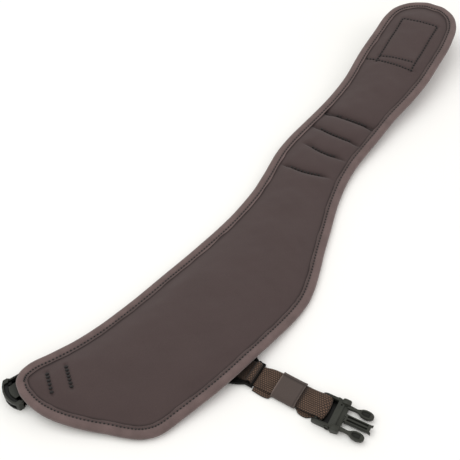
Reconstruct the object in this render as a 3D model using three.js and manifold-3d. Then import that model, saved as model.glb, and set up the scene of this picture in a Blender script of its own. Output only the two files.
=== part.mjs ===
// A camera neck strap: a wide curved foam wing with a bound edge, lying on a flat surface.
// A webbing loop at its pointed end holds the receiving half of a side-release buckle. A second
// loop under its straight edge holds a slider, and the side strap with the pronged half.
//
// Millimetres, +Z up. The wing is drawn in a plan whose X runs from the pointed end to the raised
// end. The whole part is then set so that the middle of its box, on the surface, is the origin.

import * as THREE from 'three';
import { mergeVertices } from 'three/addons/utils/BufferGeometryUtils.js';
import Module from 'manifold-3d';

const wasm = await Module();
wasm.setup();

// Driving dimensions
const GAP = 0.3;                  // running gap between neighbouring pieces
const PLAN_CENTRE_X = 319.2;       // middle of the part's box, in the plan's coordinates
const PLAN_CENTRE_Y = -98.1;

const RIM_HALF = 3.9;             // half height of the rolled edge
const PAD_RIM_INSET = 3.4;        // where the foam starts, inside the edge's roll
const PAD_RIM_HALF = 2.4;         // half thickness of the foam held in the edge
const PAD_TOP = 5.2;              // foam above the middle surface, away from the edge
const PAD_UNDER = 3.8;            // foam below it
const SWELL_START = 12;           // the foam swells between these distances from the edge
const SWELL_END = 25;
const BINDING_REACH = 11;         // how far the tape reaches in over the foam
const BINDING_WALL = 1.1;         // thickness of its two flaps
const CROWN_MARGIN = 9;           // flat strip inside the edge, before the crown starts

const WEBBING = 23.6;             // width of the strap webbing, sold as 25 mm
const TAPE = 1.4;                 // its thickness
const ANCHOR_WIDTH = 35;          // width of the loop under the straight edge

const STRAP_ANGLE = -78.9;        // direction of the side strap in the plan, degrees
const STRAP_MIDDLE = 128;         // its centre line, measured across that direction

const BUCKLE_WIDTH = 32;          // both halves, at the mouth
const BUCKLE_HEIGHT = 10.8;
const MALE_HEIGHT = 7;            // frame of the pronged half
const SHOULDER_HEIGHT = 9.4;      // its two grips

// The wing from the pointed end to the raised end. Each row is a line across it: a point of the
// outer edge on either side with the mid-height of the roll there, the height of the soft crown
// between them, the crown's place across (0 left, 1 right), and the depth of a sewn furrow.
const WING_ROWS = [
  // leftX, leftY, leftZ, rightX, rightY, rightZ, crown, ridge, furrow
  [4, 6.4, 16.2, -0.6, -3.6, 16, 0, 0.5, 0],
  [12, 11.6, 16.2, -2, -16, 15.4, 0, 0.5, 0],
  [26.5, 12.2, 15.2, -0.5, -30, 13.4, 0.6, 0.4, 0],
  [40, 8.8, 13.8, 4.7, -45, 11, 1.4, 0.3, 0],
  [52, 6.2, 12, 14, -63, 8.4, 2.4, 0.22, 0],
  [67, 3.2, 10, 27, -83, 6, 3.2, 0.2, 0],
  [83, 1, 8.3, 42, -106, 4.8, 3.6, 0.2, 0],
  [98, -0.4, 7, 57, -116.8, 5.2, 3.8, 0.22, 0],
  [114, -1.3, 6, 77, -121, 6.8, 4, 0.23, 0],
  [132, -2.2, 5.2, 97, -124.4, 9, 4, 0.24, 0],
  [153, -2.7, 4.6, 120, -127.8, 11.2, 4, 0.25, 0],
  [177, -3, 4.2, 146, -129.6, 12, 4.2, 0.27, 0],
  [203, -3.8, 4, 173, -130, 10.6, 4.4, 0.3, 0],
  [229, -4.1, 4, 200, -129.8, 7.5, 4.6, 0.36, 0],
  [254, -3.9, 4, 225.5, -128.8, 5, 4.6, 0.45, 0],
  [275, -2.8, 4, 249, -125, 4, 4.6, 0.55, 0],
  [296, -0.3, 4, 274, -114.8, 4, 4.4, 0.68, 0],
  [314, 2.6, 4.2, 300.6, -101, 4, 3.6, 0.72, 0],
  [330, 6.8, 4.4, 327.6, -88, 4.2, 2.6, 0.7, 0],
  [342, 10.2, 4.6, 355, -74.6, 4.4, 2, 0.6, 0],
  [354, 14, 4.8, 381, -64.6, 5, 1.8, 0.5, 2],
  [368, 18, 5, 396, -60.4, 6, 2.2, 0.5, 0],
  [382, 20.6, 5.3, 411, -57.5, 7.2, 1.8, 0.5, 2],
  [399, 22.3, 5.8, 421.5, -56.3, 8.2, 2.2, 0.5, 0],
  [415.5, 23, 6.4, 432.5, -55.3, 9.4, 1.8, 0.5, 2],
  [427.5, 23.4, 7, 443.5, -54.5, 10.6, 2, 0.5, 0],
  [439.5, 23.8, 7.6, 454.8, -53.7, 12, 1.4, 0.5, 2.6],
  [462, 25, 9, 479, -51.4, 15, 1.8, 0.5, 0],
  [483, 27.3, 10.6, 500, -51, 17.8, 1.8, 0.5, 0],
  [503, 30.6, 12.6, 519, -50.7, 20.3, 1.6, 0.5, 0],
  [526, 36.8, 15, 545, -48.6, 23.6, 1, 0.5, 1.2],
  [543, 41, 17, 559, -46.3, 25.6, 1, 0.5, 0],
  [562, 44.6, 19.2, 577, -42.8, 28, 1, 0.5, 0],
  [581, 48, 21.6, 596, -39.2, 30.6, 1, 0.5, 0],
  [599, 51.4, 24, 616.5, -33, 33.4, 0.8, 0.5, 0],
  [617, 51, 26.4, 628, -28, 34.8, 0.4, 0.5, 0],
  [630, 44.3, 28.8, 639, -18.8, 35.6, 0, 0.5, 0],
  [639.5, 34.2, 31, 645, -8.8, 35.6, 0, 0.5, 0],
  [645.6, 22.5, 33, 648, 3, 35, 0, 0.5, 0],
].map(([leftX, leftY, leftZ, rightX, rightY, rightZ, crown, ridge, furrow]) => ({
  left: new THREE.Vector3(leftX, leftY, leftZ),
  right: new THREE.Vector3(rightX, rightY, rightZ),
  crown, ridge, furrow,
}));

const FABRIC = { pad: 0x50463f, binding: 0x6b5a58, webbing: 0x504037, keeper: 0x554a46 };
const PLASTIC = { buckle: 0x3c3d39, slider: 0x2e2f2c };

const clamp = (value, low, high) => Math.min(high, Math.max(low, value));
const mix = (a, b, t) => a + (b - a) * t;
const smooth = (value, low, high) => {
  const t = clamp((value - low) / (high - low), 0, 1);
  return t * t * (3 - 2 * t);
};

// A closed mesh from grid faces given as index lists
function closedGeometry(points, quads) {
  const index = [];
  for (const [a, b, c, d] of quads) {
    index.push(a, b, c);
    if (d !== undefined) index.push(a, c, d);
  }
  const geometry = new THREE.BufferGeometry();
  geometry.setAttribute('position', new THREE.Float32BufferAttribute(points.flat(), 3));
  geometry.setIndex(index);
  return geometry;
}

function named(name, geometry, color, roughness) {
  const material = new THREE.MeshStandardMaterial({ color, roughness, metalness: 0 });
  const mesh = new THREE.Mesh(geometry, material);
  mesh.name = name;
  return mesh;
}

// Booleans on closed geometries
function solidOf(geometry) {
  const bare = geometry.index ? geometry.clone() : geometry;
  bare.deleteAttribute('normal');
  bare.deleteAttribute('uv');
  const merged = mergeVertices(bare, 1e-4);
  return new wasm.Manifold(new wasm.Mesh({
    numProp: 3,
    vertProperties: new Float32Array(merged.attributes.position.array),
    triVerts: new Uint32Array(merged.index.array),
  }));
}

function geometryOf(solid) {
  const mesh = solid.getMesh();
  const geometry = new THREE.BufferGeometry();
  geometry.setAttribute('position', new THREE.BufferAttribute(new Float32Array(mesh.vertProperties), 3));
  geometry.setIndex(new THREE.BufferAttribute(new Uint32Array(mesh.triVerts), 1));
  return geometry;
}

const joined = (parts) => parts.map(solidOf).reduce((sum, part) => sum.add(part));
const cut = (solid, tools) => tools.map(solidOf).reduce((rest, tool) => rest.subtract(tool), solid);

// A flat outline given as corners [x, y, radius], raised from one height to another
function roundedShape(corners) {
  const shape = new THREE.Shape();
  const count = corners.length;
  corners.forEach(([x, y, radius = 0], i) => {
    const [px, py] = corners[(i + count - 1) % count];
    const [nx, ny] = corners[(i + 1) % count];
    const before = new THREE.Vector2(px - x, py - y).setLength(radius);
    const after = new THREE.Vector2(nx - x, ny - y).setLength(radius);
    if (i === 0) shape.moveTo(x + before.x, y + before.y);
    else shape.lineTo(x + before.x, y + before.y);
    if (radius > 0) shape.quadraticCurveTo(x, y, x + after.x, y + after.y);
  });
  shape.closePath();
  return shape;
}

function plate(corners, low, high, curveSegments = 3) {
  const options = { depth: high - low, bevelEnabled: false, curveSegments };
  return new THREE.ExtrudeGeometry(roundedShape(corners), options).translate(0, 0, low);
}

function block(x0, x1, y0, y1, z0, z1) {
  return new THREE.BoxGeometry(x1 - x0, y1 - y0, z1 - z0)
    .translate((x0 + x1) / 2, (y0 + y1) / 2, (z0 + z1) / 2);
}

// A round bar across the strap
function crossBar(x, z, radius, halfLength, sides = 12) {
  return new THREE.CylinderGeometry(radius, radius, 2 * halfLength, sides).translate(x, 0, z);
}

// The wing's lines across, with more between the rows
const LINES_PER_ROW = 2;

function wingLines() {
  const leftEdge = new THREE.CatmullRomCurve3(WING_ROWS.map((row) => row.left));
  const rightEdge = new THREE.CatmullRomCurve3(WING_ROWS.map((row) => row.right));
  const last = WING_ROWS.length - 1;
  const lines = [];
  for (let i = 0; i <= last * LINES_PER_ROW; i++) {
    const t = i / LINES_PER_ROW;
    const row = WING_ROWS[Math.floor(t)];
    const next = WING_ROWS[Math.min(last, Math.floor(t) + 1)];
    const part = t - Math.floor(t);
    lines.push({
      left: leftEdge.getPoint(t / last),
      right: rightEdge.getPoint(t / last),
      crown: mix(row.crown, next.crown, part),
      ridge: mix(row.ridge, next.ridge, part),
      furrow: part === 0 ? row.furrow : 0,
    });
  }
  return lines;
}

const LINES = wingLines();

// The outer edge as one closed round, left side first, with one point in each end
function outlineOf(lines) {
  const first = lines[0];
  const last = lines[lines.length - 1];
  const middle = (line) => line.left.clone().lerp(line.right, 0.5);
  return [
    ...lines.map((line) => line.left),
    middle(last),
    ...lines.map((line) => line.right).reverse(),
    middle(first),
  ];
}

const OUTLINE = outlineOf(LINES);

// Inward direction at each point of the outline
const INWARD = OUTLINE.map((point, i) => {
  const before = OUTLINE[(i + OUTLINE.length - 1) % OUTLINE.length];
  const after = OUTLINE[(i + 1) % OUTLINE.length];
  return new THREE.Vector2(after.y - before.y, before.x - after.x).normalize();
});

function distanceToEdge(x, y) {
  let nearest = Infinity;
  OUTLINE.forEach((a, i) => {
    const b = OUTLINE[(i + 1) % OUTLINE.length];
    const span = new THREE.Vector2(b.x - a.x, b.y - a.y);
    const t = clamp(((x - a.x) * span.x + (y - a.y) * span.y) / span.lengthSq(), 0, 1);
    nearest = Math.min(nearest, Math.hypot(x - a.x - span.x * t, y - a.y - span.y * t));
  });
  return nearest;
}

// Where a plan point lies: between which lines, and how far across
function locate(x, y) {
  const side = (line) => (line.right.x - line.left.x) * (y - line.left.y)
    - (line.right.y - line.left.y) * (x - line.left.x);
  let index = 0;
  while (index < LINES.length - 2 && side(LINES[index + 1]) > 0) index++;
  const before = side(LINES[index]);
  const after = side(LINES[index + 1]);
  const along = before - after === 0 ? 0 : clamp(before / (before - after), 0, 1);
  const a = LINES[index];
  const b = LINES[index + 1];
  const left = a.left.clone().lerp(b.left, along);
  const right = a.right.clone().lerp(b.right, along);
  const width = Math.hypot(right.x - left.x, right.y - left.y);
  const across = ((x - left.x) * (right.x - left.x) + (y - left.y) * (right.y - left.y)) / width;
  return { a, b, along, left, right, width, across: clamp(across, 0, width) };
}

// Height of the wing's middle surface at a plan point
function middleHeight(x, y) {
  const { a, b, along, left, right, width, across } = locate(x, y);
  const rim = mix(left.z, right.z, across / width);
  const inner = Math.max(width - 2 * CROWN_MARGIN, 1);
  const u = clamp((across - CROWN_MARGIN) / inner, 0, 1);
  const ridge = mix(a.ridge, b.ridge, along);
  const fall = u < ridge ? (ridge - u) / ridge : (u - ridge) / (1 - ridge);
  return rim + mix(a.crown, b.crown, along) * (1 - fall * fall);
}

// The foam body: a grid across the wing, closed round its rim
const COLUMN_DISTANCES = [0, 9, 17, 26];
const COLUMN_LIMITS = [0, 0.13, 0.22, 0.32];
const COLUMN_MIDDLES = [0.42, 0.5, 0.58];

function columnsAcross(width) {
  const near = COLUMN_DISTANCES.map((distance, i) => Math.min(distance, COLUMN_LIMITS[i] * width));
  return [
    ...near,
    ...COLUMN_MIDDLES.map((share) => share * width),
    ...near.map((distance) => width - distance).reverse(),
  ];
}

function padGeometry() {
  const count = LINES.length;
  const inset = (i) => {
    const point = OUTLINE[i];
    const inward = INWARD[i];
    return new THREE.Vector2(point.x + inward.x * PAD_RIM_INSET, point.y + inward.y * PAD_RIM_INSET);
  };
  const top = [];
  const under = [];
  LINES.forEach((line, i) => {
    const left = inset(i);
    const right = inset(2 * count - i);
    const width = left.distanceTo(right);
    for (const distance of columnsAcross(width)) {
      const x = mix(left.x, right.x, distance / width);
      const y = mix(left.y, right.y, distance / width);
      const swell = smooth(distanceToEdge(x, y), SWELL_START, SWELL_END);
      const sewn = line.furrow * smooth(distanceToEdge(x, y), PAD_RIM_INSET, SWELL_START);
      const middle = middleHeight(x, y);
      top.push([x, y, middle + mix(PAD_RIM_HALF, PAD_TOP, swell) - sewn]);
      under.push([x, y, middle - mix(PAD_RIM_HALF, PAD_UNDER, swell) + sewn / 3]);
    }
  });
  const columns = columnsAcross(1).length;
  const at = (i, j) => i * columns + j;
  const below = top.length;
  const quads = [];
  for (let i = 0; i < count - 1; i++) {
    for (let j = 0; j < columns - 1; j++) {
      const corners = [at(i, j), at(i, j + 1), at(i + 1, j + 1), at(i + 1, j)];
      quads.push(corners);
      quads.push(corners.map((corner) => corner + below).reverse());
    }
    for (const j of [0, columns - 1]) {
      const wall = [at(i, j), at(i + 1, j), at(i + 1, j) + below, at(i, j) + below];
      quads.push(j === 0 ? wall : wall.reverse());
    }
  }
  for (let j = 0; j < columns - 1; j++) {
    for (const i of [0, count - 1]) {
      const wall = [at(i, j + 1), at(i, j), at(i, j) + below, at(i, j + 1) + below];
      quads.push(i === 0 ? wall : wall.reverse());
    }
  }
  return closedGeometry([...top, ...under], quads);
}

// The rolled tape: one folded section carried round the outline
const BINDING_SECTION = [
  // in from the edge, above the middle surface
  [0, 0],
  [0.7, 2.6],
  [3, RIM_HALF],
  [6.5, RIM_HALF - 0.2],
  [BINDING_REACH, PAD_RIM_HALF + GAP + BINDING_WALL],
  [BINDING_REACH, PAD_RIM_HALF + GAP],
  [PAD_RIM_INSET - GAP, PAD_RIM_HALF + GAP],
  [PAD_RIM_INSET - GAP, -PAD_RIM_HALF - GAP],
  [BINDING_REACH, -PAD_RIM_HALF - GAP],
  [BINDING_REACH, -PAD_RIM_HALF - GAP - BINDING_WALL],
  [6.5, -RIM_HALF + 0.2],
  [3, -RIM_HALF],
  [0.7, -2.6],
];

function bindingGeometry() {
  const points = [];
  OUTLINE.forEach((point, i) => {
    for (const [inset, height] of BINDING_SECTION) {
      const x = point.x + INWARD[i].x * inset;
      const y = point.y + INWARD[i].y * inset;
      points.push([x, y, middleHeight(x, y) + height]);
    }
  });
  const size = BINDING_SECTION.length;
  const quads = [];
  OUTLINE.forEach((_, i) => {
    const next = (i + 1) % OUTLINE.length;
    for (let j = 0; j < size; j++) {
      const k = (j + 1) % size;
      quads.push([i * size + j, i * size + k, next * size + k, next * size + j]);
    }
  });
  return closedGeometry(points, quads);
}

// Underside of the wing, seams and edge roll included
const undersideHeight = (x, y) => middleHeight(x, y) - RIM_HALF;

// A place in the plan from which a sub-assembly is laid out along its own direction
class Station {
  constructor(x, y, degrees) {
    this.x = x;
    this.y = y;
    this.angle = THREE.MathUtils.degToRad(degrees);
  }

  toPlan(along, across) {
    const c = Math.cos(this.angle);
    const s = Math.sin(this.angle);
    return [this.x + along * c - across * s, this.y + along * s + across * c];
  }

  place(...meshes) {
    const group = new THREE.Group();
    group.add(...meshes);
    group.position.set(this.x, this.y, 0);
    group.rotation.z = this.angle;
    return group;
  }
}

// The turn of a band round a bar, angles in degrees in the plane of the route
function roundBar(along, height, radius, from, to, steps) {
  return Array.from({ length: steps + 1 }, (_, i) => {
    const angle = THREE.MathUtils.degToRad(mix(from, to, i / steps));
    return { along: along + radius * Math.cos(angle), height: height + radius * Math.sin(angle) };
  });
}

// Stretch of a band sewn flat under the wing, as the given layer counted from the foam
function sewnUnder(from, to, layer, steps = 5) {
  return Array.from({ length: steps + 1 }, (_, i) => ({ along: mix(from, to, i / steps), layer }));
}

// Webbing: a flat band of one thickness along a route, closed at both ends
function bandGeometry(route, width, station, shift = () => 0) {
  const rows = route.map((point) => [-1, 1].map((side) => {
    const across = shift(point) + side * width(point.along) / 2;
    if (point.layer === undefined) return [point.along, across, point.height];
    const drop = GAP + TAPE / 2 + point.layer * (TAPE + GAP);
    return [point.along, across, undersideHeight(...station.toPlan(point.along, across)) - drop];
  }));
  const corners = [];
  rows.forEach((row, i) => {
    const before = rows[Math.max(0, i - 1)];
    const after = rows[Math.min(rows.length - 1, i + 1)];
    const offsets = [0, 1].map((side) => new THREE.Vector2(
      before[side][2] - after[side][2],
      after[side][0] - before[side][0],
    ).setLength(TAPE / 2));
    for (const [side, face] of [[0, 1], [1, 1], [1, -1], [0, -1]]) {
      const [along, across, height] = row[side];
      corners.push([along + face * offsets[side].x, across, height + face * offsets[side].y]);
    }
  });
  const quads = [[0, 1, 2, 3]];
  for (let i = 0; i < rows.length - 1; i++) {
    for (let j = 0; j < 4; j++) {
      const k = (j + 1) % 4;
      quads.push([4 * i + k, 4 * i + j, 4 * (i + 1) + j, 4 * (i + 1) + k]);
    }
  }
  const end = 4 * (rows.length - 1);
  quads.push([end + 3, end + 2, end + 1, end]);
  return closedGeometry(corners, quads);
}

// The side strap, laid out along its own direction: X along the strap away from the wing
const SLIDER = {
  wideBar: 141, wideHeight: 3.9, wideHalf: 24, wideRadius: 1.8,
  centreBar: 159.8, centreHeight: 4.1, centreRadius: 1.6,
  outerBar: 166, outerLow: 3.7, outerHigh: 6.5, outerWidth: 2.6, narrowHalf: 13.9,
  armWidth: 2.2, armLow: 2.2, armHigh: 6.2, pinch: 2, side: -1.5,
};
const KEEPER = { start: 187.2, end: 210.4, half: 13.2, wall: 1, height: 6.4 };
const MALE = {
  frameStart: 229.2, bar: 231.4, barHeight: 3.7, barRadius: 1.7, frameHalf: 14.5, armWidth: 2.3,
  slotEnd: 242.6, shoulderStart: 246.7, shoulderEnd: 253.4, gripWidth: 5.4,
  prongTip: 275.4, prongAcross: 11.1, prongLow: 2.7, prongHigh: 6.7,
  guideHalf: 3.5, guideEnd: 278.2, yaw: 1.5,
};
const LAYER_BACK = GAP + KEEPER.wall + TAPE / 2;          // centre height inside the keeper
const LAYER_TOP = LAYER_BACK + TAPE + GAP;
const LAYER_FLOOR = GAP + TAPE / 2;
const HEM_START = 172.4;
const SIDE = new Station(
  -STRAP_MIDDLE * Math.sin(THREE.MathUtils.degToRad(STRAP_ANGLE)),
  STRAP_MIDDLE * Math.cos(THREE.MathUtils.degToRad(STRAP_ANGLE)),
  STRAP_ANGLE,
);

function sideWebbing() {
  const wrap = SLIDER.centreRadius + GAP + TAPE / 2;
  const turn = MALE.barRadius + GAP + TAPE / 2;
  const route = [
    { along: SLIDER.outerBar + 1.6, height: LAYER_FLOOR },
    { along: SLIDER.centreBar - 3.4, height: LAYER_FLOOR },
    ...roundBar(SLIDER.centreBar, SLIDER.centreHeight, wrap, 225, 15, 9),
    { along: SLIDER.outerBar - 2.6, height: 2.75 },
    { along: SLIDER.outerBar + 2.5, height: 2.65 },
    { along: KEEPER.start - 2, height: LAYER_TOP },
    { along: KEEPER.end + 2, height: LAYER_TOP },
    { along: MALE.bar - 8, height: LAYER_TOP + 1.4 },
    ...roundBar(MALE.bar, MALE.barHeight, turn, 118, -112, 10),
    { along: MALE.frameStart - 1, height: 1.3, skew: -0.2 },
    { along: MALE.frameStart - 6, height: LAYER_FLOOR, skew: -2.2 },
    { along: KEEPER.end + 5, height: LAYER_FLOOR, skew: -1.8 },
    { along: KEEPER.end + 0.8, height: LAYER_BACK },
    { along: KEEPER.start - 0.4, height: LAYER_BACK },
    { along: KEEPER.start - 2.4, height: LAYER_FLOOR, skew: -3.6 },
    { along: HEM_START, height: LAYER_FLOOR, skew: -5 },
  ];
  const atSlider = (along) => 1 - smooth(along, SLIDER.outerBar + 2, KEEPER.start - 6);
  const width = (along) => WEBBING - SLIDER.pinch * atSlider(along);
  const shift = ({ along, skew = 0 }) => skew + SLIDER.side * atSlider(along);
  return named('side_webbing', bandGeometry(route, width, SIDE, shift), FABRIC.webbing, 0.9);
}

function keeper() {
  const { start, end, half, wall, height } = KEEPER;
  const sleeve = plate([[start, -half, 1], [end, -half, 1], [end, half, 1], [start, half, 1]], 0, height, 2);
  const hollow = block(start - 1, end + 1, -half + wall, half - wall, wall, height - wall);
  return named('keeper', geometryOf(cut(solidOf(sleeve), [hollow])), FABRIC.keeper, 0.95);
}

function slider() {
  const { wideBar, wideHeight, wideHalf, wideRadius, centreBar, centreHeight, centreRadius } = SLIDER;
  const { outerBar, outerLow, outerHigh, outerWidth, narrowHalf, armWidth, armLow, armHigh } = SLIDER;
  const gusset = wideBar + wideRadius + GAP + TAPE + 1.8;    // solid web between arm and webbing
  const end = outerBar + outerWidth / 2;
  const start = wideBar - wideRadius;
  const bend = centreBar + 2;
  const arm = (side) => plate([
    [end, side * narrowHalf, 1.5],
    [bend, side * narrowHalf, 1],
    [start, side * wideHalf, 2],
    [start, side * (wideHalf - armWidth), 0],
    [gusset - 1.5, side * (wideHalf - armWidth - 1), 0.5],
    [gusset, side * (narrowHalf - armWidth + 0.6), 0.5],
    [end, side * (narrowHalf - armWidth + 0.2), 0],
  ], armLow, armHigh);
  const outer = block(outerBar - outerWidth / 2, end, -narrowHalf + 1.4, narrowHalf - 1.4, outerLow, outerHigh);
  const solid = joined([
    arm(1),
    arm(-1),
    crossBar(wideBar, wideHeight, wideRadius, wideHalf - 1.4),
    crossBar(centreBar, centreHeight, centreRadius, narrowHalf - 1),
    outer,
  ]);
  const mesh = named('strap_slider', geometryOf(solid), PLASTIC.slider, 0.45);
  mesh.position.y = SLIDER.side;
  return mesh;
}

// The wider loop that is sewn under the wing and holds the slider's wide bar
const ANCHOR = { start: 96, free: 129 };

function anchorWebbing() {
  const { wideBar, wideHeight, wideRadius } = SLIDER;
  const wrap = wideRadius + GAP + TAPE / 2;
  const route = [
    ...sewnUnder(ANCHOR.start, ANCHOR.free, 0),
    ...roundBar(wideBar, wideHeight, wrap, 95, -110, 8),
    ...sewnUnder(ANCHOR.free - 6, ANCHOR.start + 8, 1, 4),
  ];
  return named('side_anchor_webbing', bandGeometry(route, () => ANCHOR_WIDTH, SIDE, () => SLIDER.side), FABRIC.webbing, 0.9);
}

// The pronged half: a frame with the strap's bar, two raised grips, two prongs and a guide
function prong(side) {
  const { shoulderEnd, prongTip, prongAcross, prongLow, prongHigh } = MALE;
  const y = side * prongAcross;
  return plate([
    [shoulderEnd - 1, y - 1.5, 0],
    [shoulderEnd + 7, y - 1.3, 1],
    [shoulderEnd + 11, y - 3.9, 2],
    [prongTip - 2, y - 3.2, 2],
    [prongTip + 0.6, y, 2],
    [prongTip - 2, y + 3.2, 2],
    [shoulderEnd + 11, y + 3.9, 2],
    [shoulderEnd + 7, y + 1.3, 1],
    [shoulderEnd - 1, y + 1.5, 0],
  ], prongLow, prongHigh, 2);
}

function grip(side) {
  const { shoulderStart, shoulderEnd, gripWidth } = MALE;
  const outer = side * BUCKLE_WIDTH / 2;
  const inner = outer - side * gripWidth;
  return plate([
    [shoulderStart, inner, 0.8],
    [shoulderStart, outer, 1.5],
    [shoulderEnd, outer, 2],
    [shoulderEnd + 0.4, inner, 0.8],
  ], MALE_HEIGHT - 1, SHOULDER_HEIGHT, 2);
}

function maleBuckle() {
  const { frameStart, frameHalf, armWidth, slotEnd, shoulderStart, shoulderEnd, guideHalf, guideEnd } = MALE;
  const half = BUCKLE_WIDTH / 2;
  const body = plate([
    [frameStart, -frameHalf, 2],
    [shoulderStart - 2.5, -frameHalf, 1],
    [shoulderStart, -half, 1.5],
    [shoulderEnd, -half, 2],
    [shoulderEnd + 1.4, 0, 0],
    [shoulderEnd, half, 2],
    [shoulderStart, half, 1.5],
    [shoulderStart - 2.5, frameHalf, 1],
    [frameStart, frameHalf, 2],
  ], 0, MALE_HEIGHT);
  const slot = block(frameStart - 1, slotEnd, -frameHalf + armWidth, frameHalf - armWidth, -1, MALE_HEIGHT + 1);
  const guide = plate([
    [shoulderEnd - 1, -guideHalf - 0.5, 0],
    [guideEnd - 1, -guideHalf, 1],
    [guideEnd, 0, 0],
    [guideEnd - 1, guideHalf, 1],
    [shoulderEnd - 1, guideHalf + 0.5, 0],
  ], MALE.prongLow - 0.3, MALE.prongHigh + 0.2, 2);
  const groove = block(shoulderEnd + 2, guideEnd - 3.5, -1.1, 1.1, 4.9, MALE_HEIGHT);
  const ramp = block(MALE.bar + MALE.barRadius + 2 * GAP + TAPE, slotEnd + 1, -frameHalf + 1, frameHalf - 1, 0, 2);
  const frame = cut(solidOf(body), [slot]).add(solidOf(ramp));
  const turned = cut(frame.add(joined([guide, grip(1), grip(-1), prong(1), prong(-1)])), [groove])
    .translate([-MALE.bar, 0, 0])
    .rotate([0, 0, MALE.yaw])
    .translate([MALE.bar, 0, 0]);
  const bar = crossBar(MALE.bar, MALE.barHeight, MALE.barRadius, frameHalf - 1);
  return named('buckle_male', geometryOf(turned.add(solidOf(bar))), PLASTIC.buckle, 0.45);
}

// The receiving half at the pointed end: X runs from its mouth back to the strap's bar
const FEMALE = {
  mouthRadius: 24, length: 32, waist: 12.8, waistAt: 18, tailHalf: 14.5,
  socketDepth: 22, socketHalf: 12.2, socketLow: 2, socketHigh: 8.8,
  bar: 29.4, barHeight: 4.6, barRadius: 1.8, slotHalf: 12.7, slotStart: 24.4, tailHeight: 7.4,
};
const TIP = new Station(-9.6, 5, -4);

function femaleBuckle() {
  const half = BUCKLE_WIDTH / 2;
  const { mouthRadius, length, waist, waistAt, tailHalf, socketDepth, socketHalf } = FEMALE;
  const { socketLow, socketHigh, bar, barHeight, barRadius, slotHalf, slotStart, tailHeight } = FEMALE;
  const sag = mouthRadius - Math.sqrt(mouthRadius ** 2 - half ** 2);
  const steps = 8;
  const mouth = Array.from({ length: steps + 1 }, (_, i) => {
    const y = mix(half - 1, -half + 1, i / steps);
    const x = mouthRadius - Math.sqrt(mouthRadius ** 2 - y ** 2);
    return [x, y, i === 0 || i === steps ? 1 : 0];
  });
  const outline = [
    ...mouth,
    [sag + 2.5, -half + 0.3, 1],
    [waistAt, -waist, 2],
    [slotStart - 1, -tailHalf, 2],
    [length, -tailHalf, 3],
    [length, tailHalf, 3],
    [slotStart - 1, tailHalf, 2],
    [waistAt, waist, 2],
    [sag + 2.5, half - 0.3, 1],
  ];
  const body = plate(outline, 0, BUCKLE_HEIGHT);
  const socket = block(-1, socketDepth - 2, -socketHalf, socketHalf, socketLow, socketHigh);
  const windowCut = (side) => block(10, 18, side > 0 ? 10 : -half - 1, side > 0 ? half + 1 : -10,
    socketLow, socketHigh);
  const tail = block(slotStart - 3, length + 1, -half, half, tailHeight, BUCKLE_HEIGHT + 1);
  const slot = block(slotStart, length + 1, -slotHalf, slotHalf, -1, BUCKLE_HEIGHT + 1);
  const solid = cut(solidOf(body), [socket, windowCut(1), windowCut(-1), tail, slot])
    .add(solidOf(crossBar(bar, barHeight, barRadius, slotHalf + 1)));
  return named('buckle_female', geometryOf(solid), PLASTIC.buckle, 0.45);
}

// The folded loop at the pointed end, sewn under the wing by two short seams
const TIP_LOOP = { start: 66, free: 37, slant: -0.42 };

function tipWebbing() {
  const { bar, barHeight, barRadius } = FEMALE;
  const wrap = barRadius + GAP + TAPE / 2;
  const route = [
    ...sewnUnder(TIP_LOOP.start, TIP_LOOP.free, 0),
    ...roundBar(bar, barHeight, wrap, 75, 290, 8),
    ...sewnUnder(TIP_LOOP.free + 3, TIP_LOOP.start - 6, 1, 4),
  ];
  const slanted = ({ along }) => TIP_LOOP.slant * Math.max(0, along - bar - barRadius);
  return named('tip_webbing', bandGeometry(route, () => WEBBING, TIP, slanted), FABRIC.webbing, 0.9);
}

const strap = new THREE.Group();
strap.add(
  named('pad', padGeometry(), FABRIC.pad, 0.95),
  named('edge_binding', bindingGeometry(), FABRIC.binding, 0.9),
  TIP.place(tipWebbing(), femaleBuckle()),
  SIDE.place(slider(), sideWebbing(), keeper(), maleBuckle(), anchorWebbing()),
);
strap.position.set(-PLAN_CENTRE_X, -PLAN_CENTRE_Y, 0);

export default strap;
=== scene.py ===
"""Looks of a padded camera neck strap: a bound foam wing, webbing, and two buckle halves.

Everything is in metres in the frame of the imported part. The wing is laid out in its own plan,
in millimetres, whose X runs from the pointed end to the raised end.
"""

import logging
import math
from contextlib import contextmanager
from dataclasses import dataclass, field
from enum import Enum
from typing import Callable, Iterator, Sequence

import bmesh
import bpy
import numpy as np
from mathutils import Matrix, Vector

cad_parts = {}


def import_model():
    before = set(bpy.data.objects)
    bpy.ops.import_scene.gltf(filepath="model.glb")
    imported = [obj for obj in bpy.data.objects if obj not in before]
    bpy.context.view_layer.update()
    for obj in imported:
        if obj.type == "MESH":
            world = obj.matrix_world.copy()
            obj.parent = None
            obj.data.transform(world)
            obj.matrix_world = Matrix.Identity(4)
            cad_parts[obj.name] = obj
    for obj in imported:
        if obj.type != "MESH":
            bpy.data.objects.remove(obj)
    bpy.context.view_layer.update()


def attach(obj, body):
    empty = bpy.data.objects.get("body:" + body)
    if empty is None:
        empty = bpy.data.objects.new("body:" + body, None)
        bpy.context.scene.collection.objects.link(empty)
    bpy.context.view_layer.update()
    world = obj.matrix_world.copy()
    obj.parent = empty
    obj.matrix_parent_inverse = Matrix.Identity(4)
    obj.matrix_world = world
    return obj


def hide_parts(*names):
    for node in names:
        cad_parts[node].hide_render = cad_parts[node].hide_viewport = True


log = logging.getLogger("neck_strap")
MM = 0.001
PLAN_CENTRE = np.array([319.2, -98.1])

Array = np.ndarray
Object = bpy.types.Object
Socket = bpy.types.NodeSocket
Triple = tuple[float, float, float]
Color = Triple
Stop = tuple[float, float]

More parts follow.
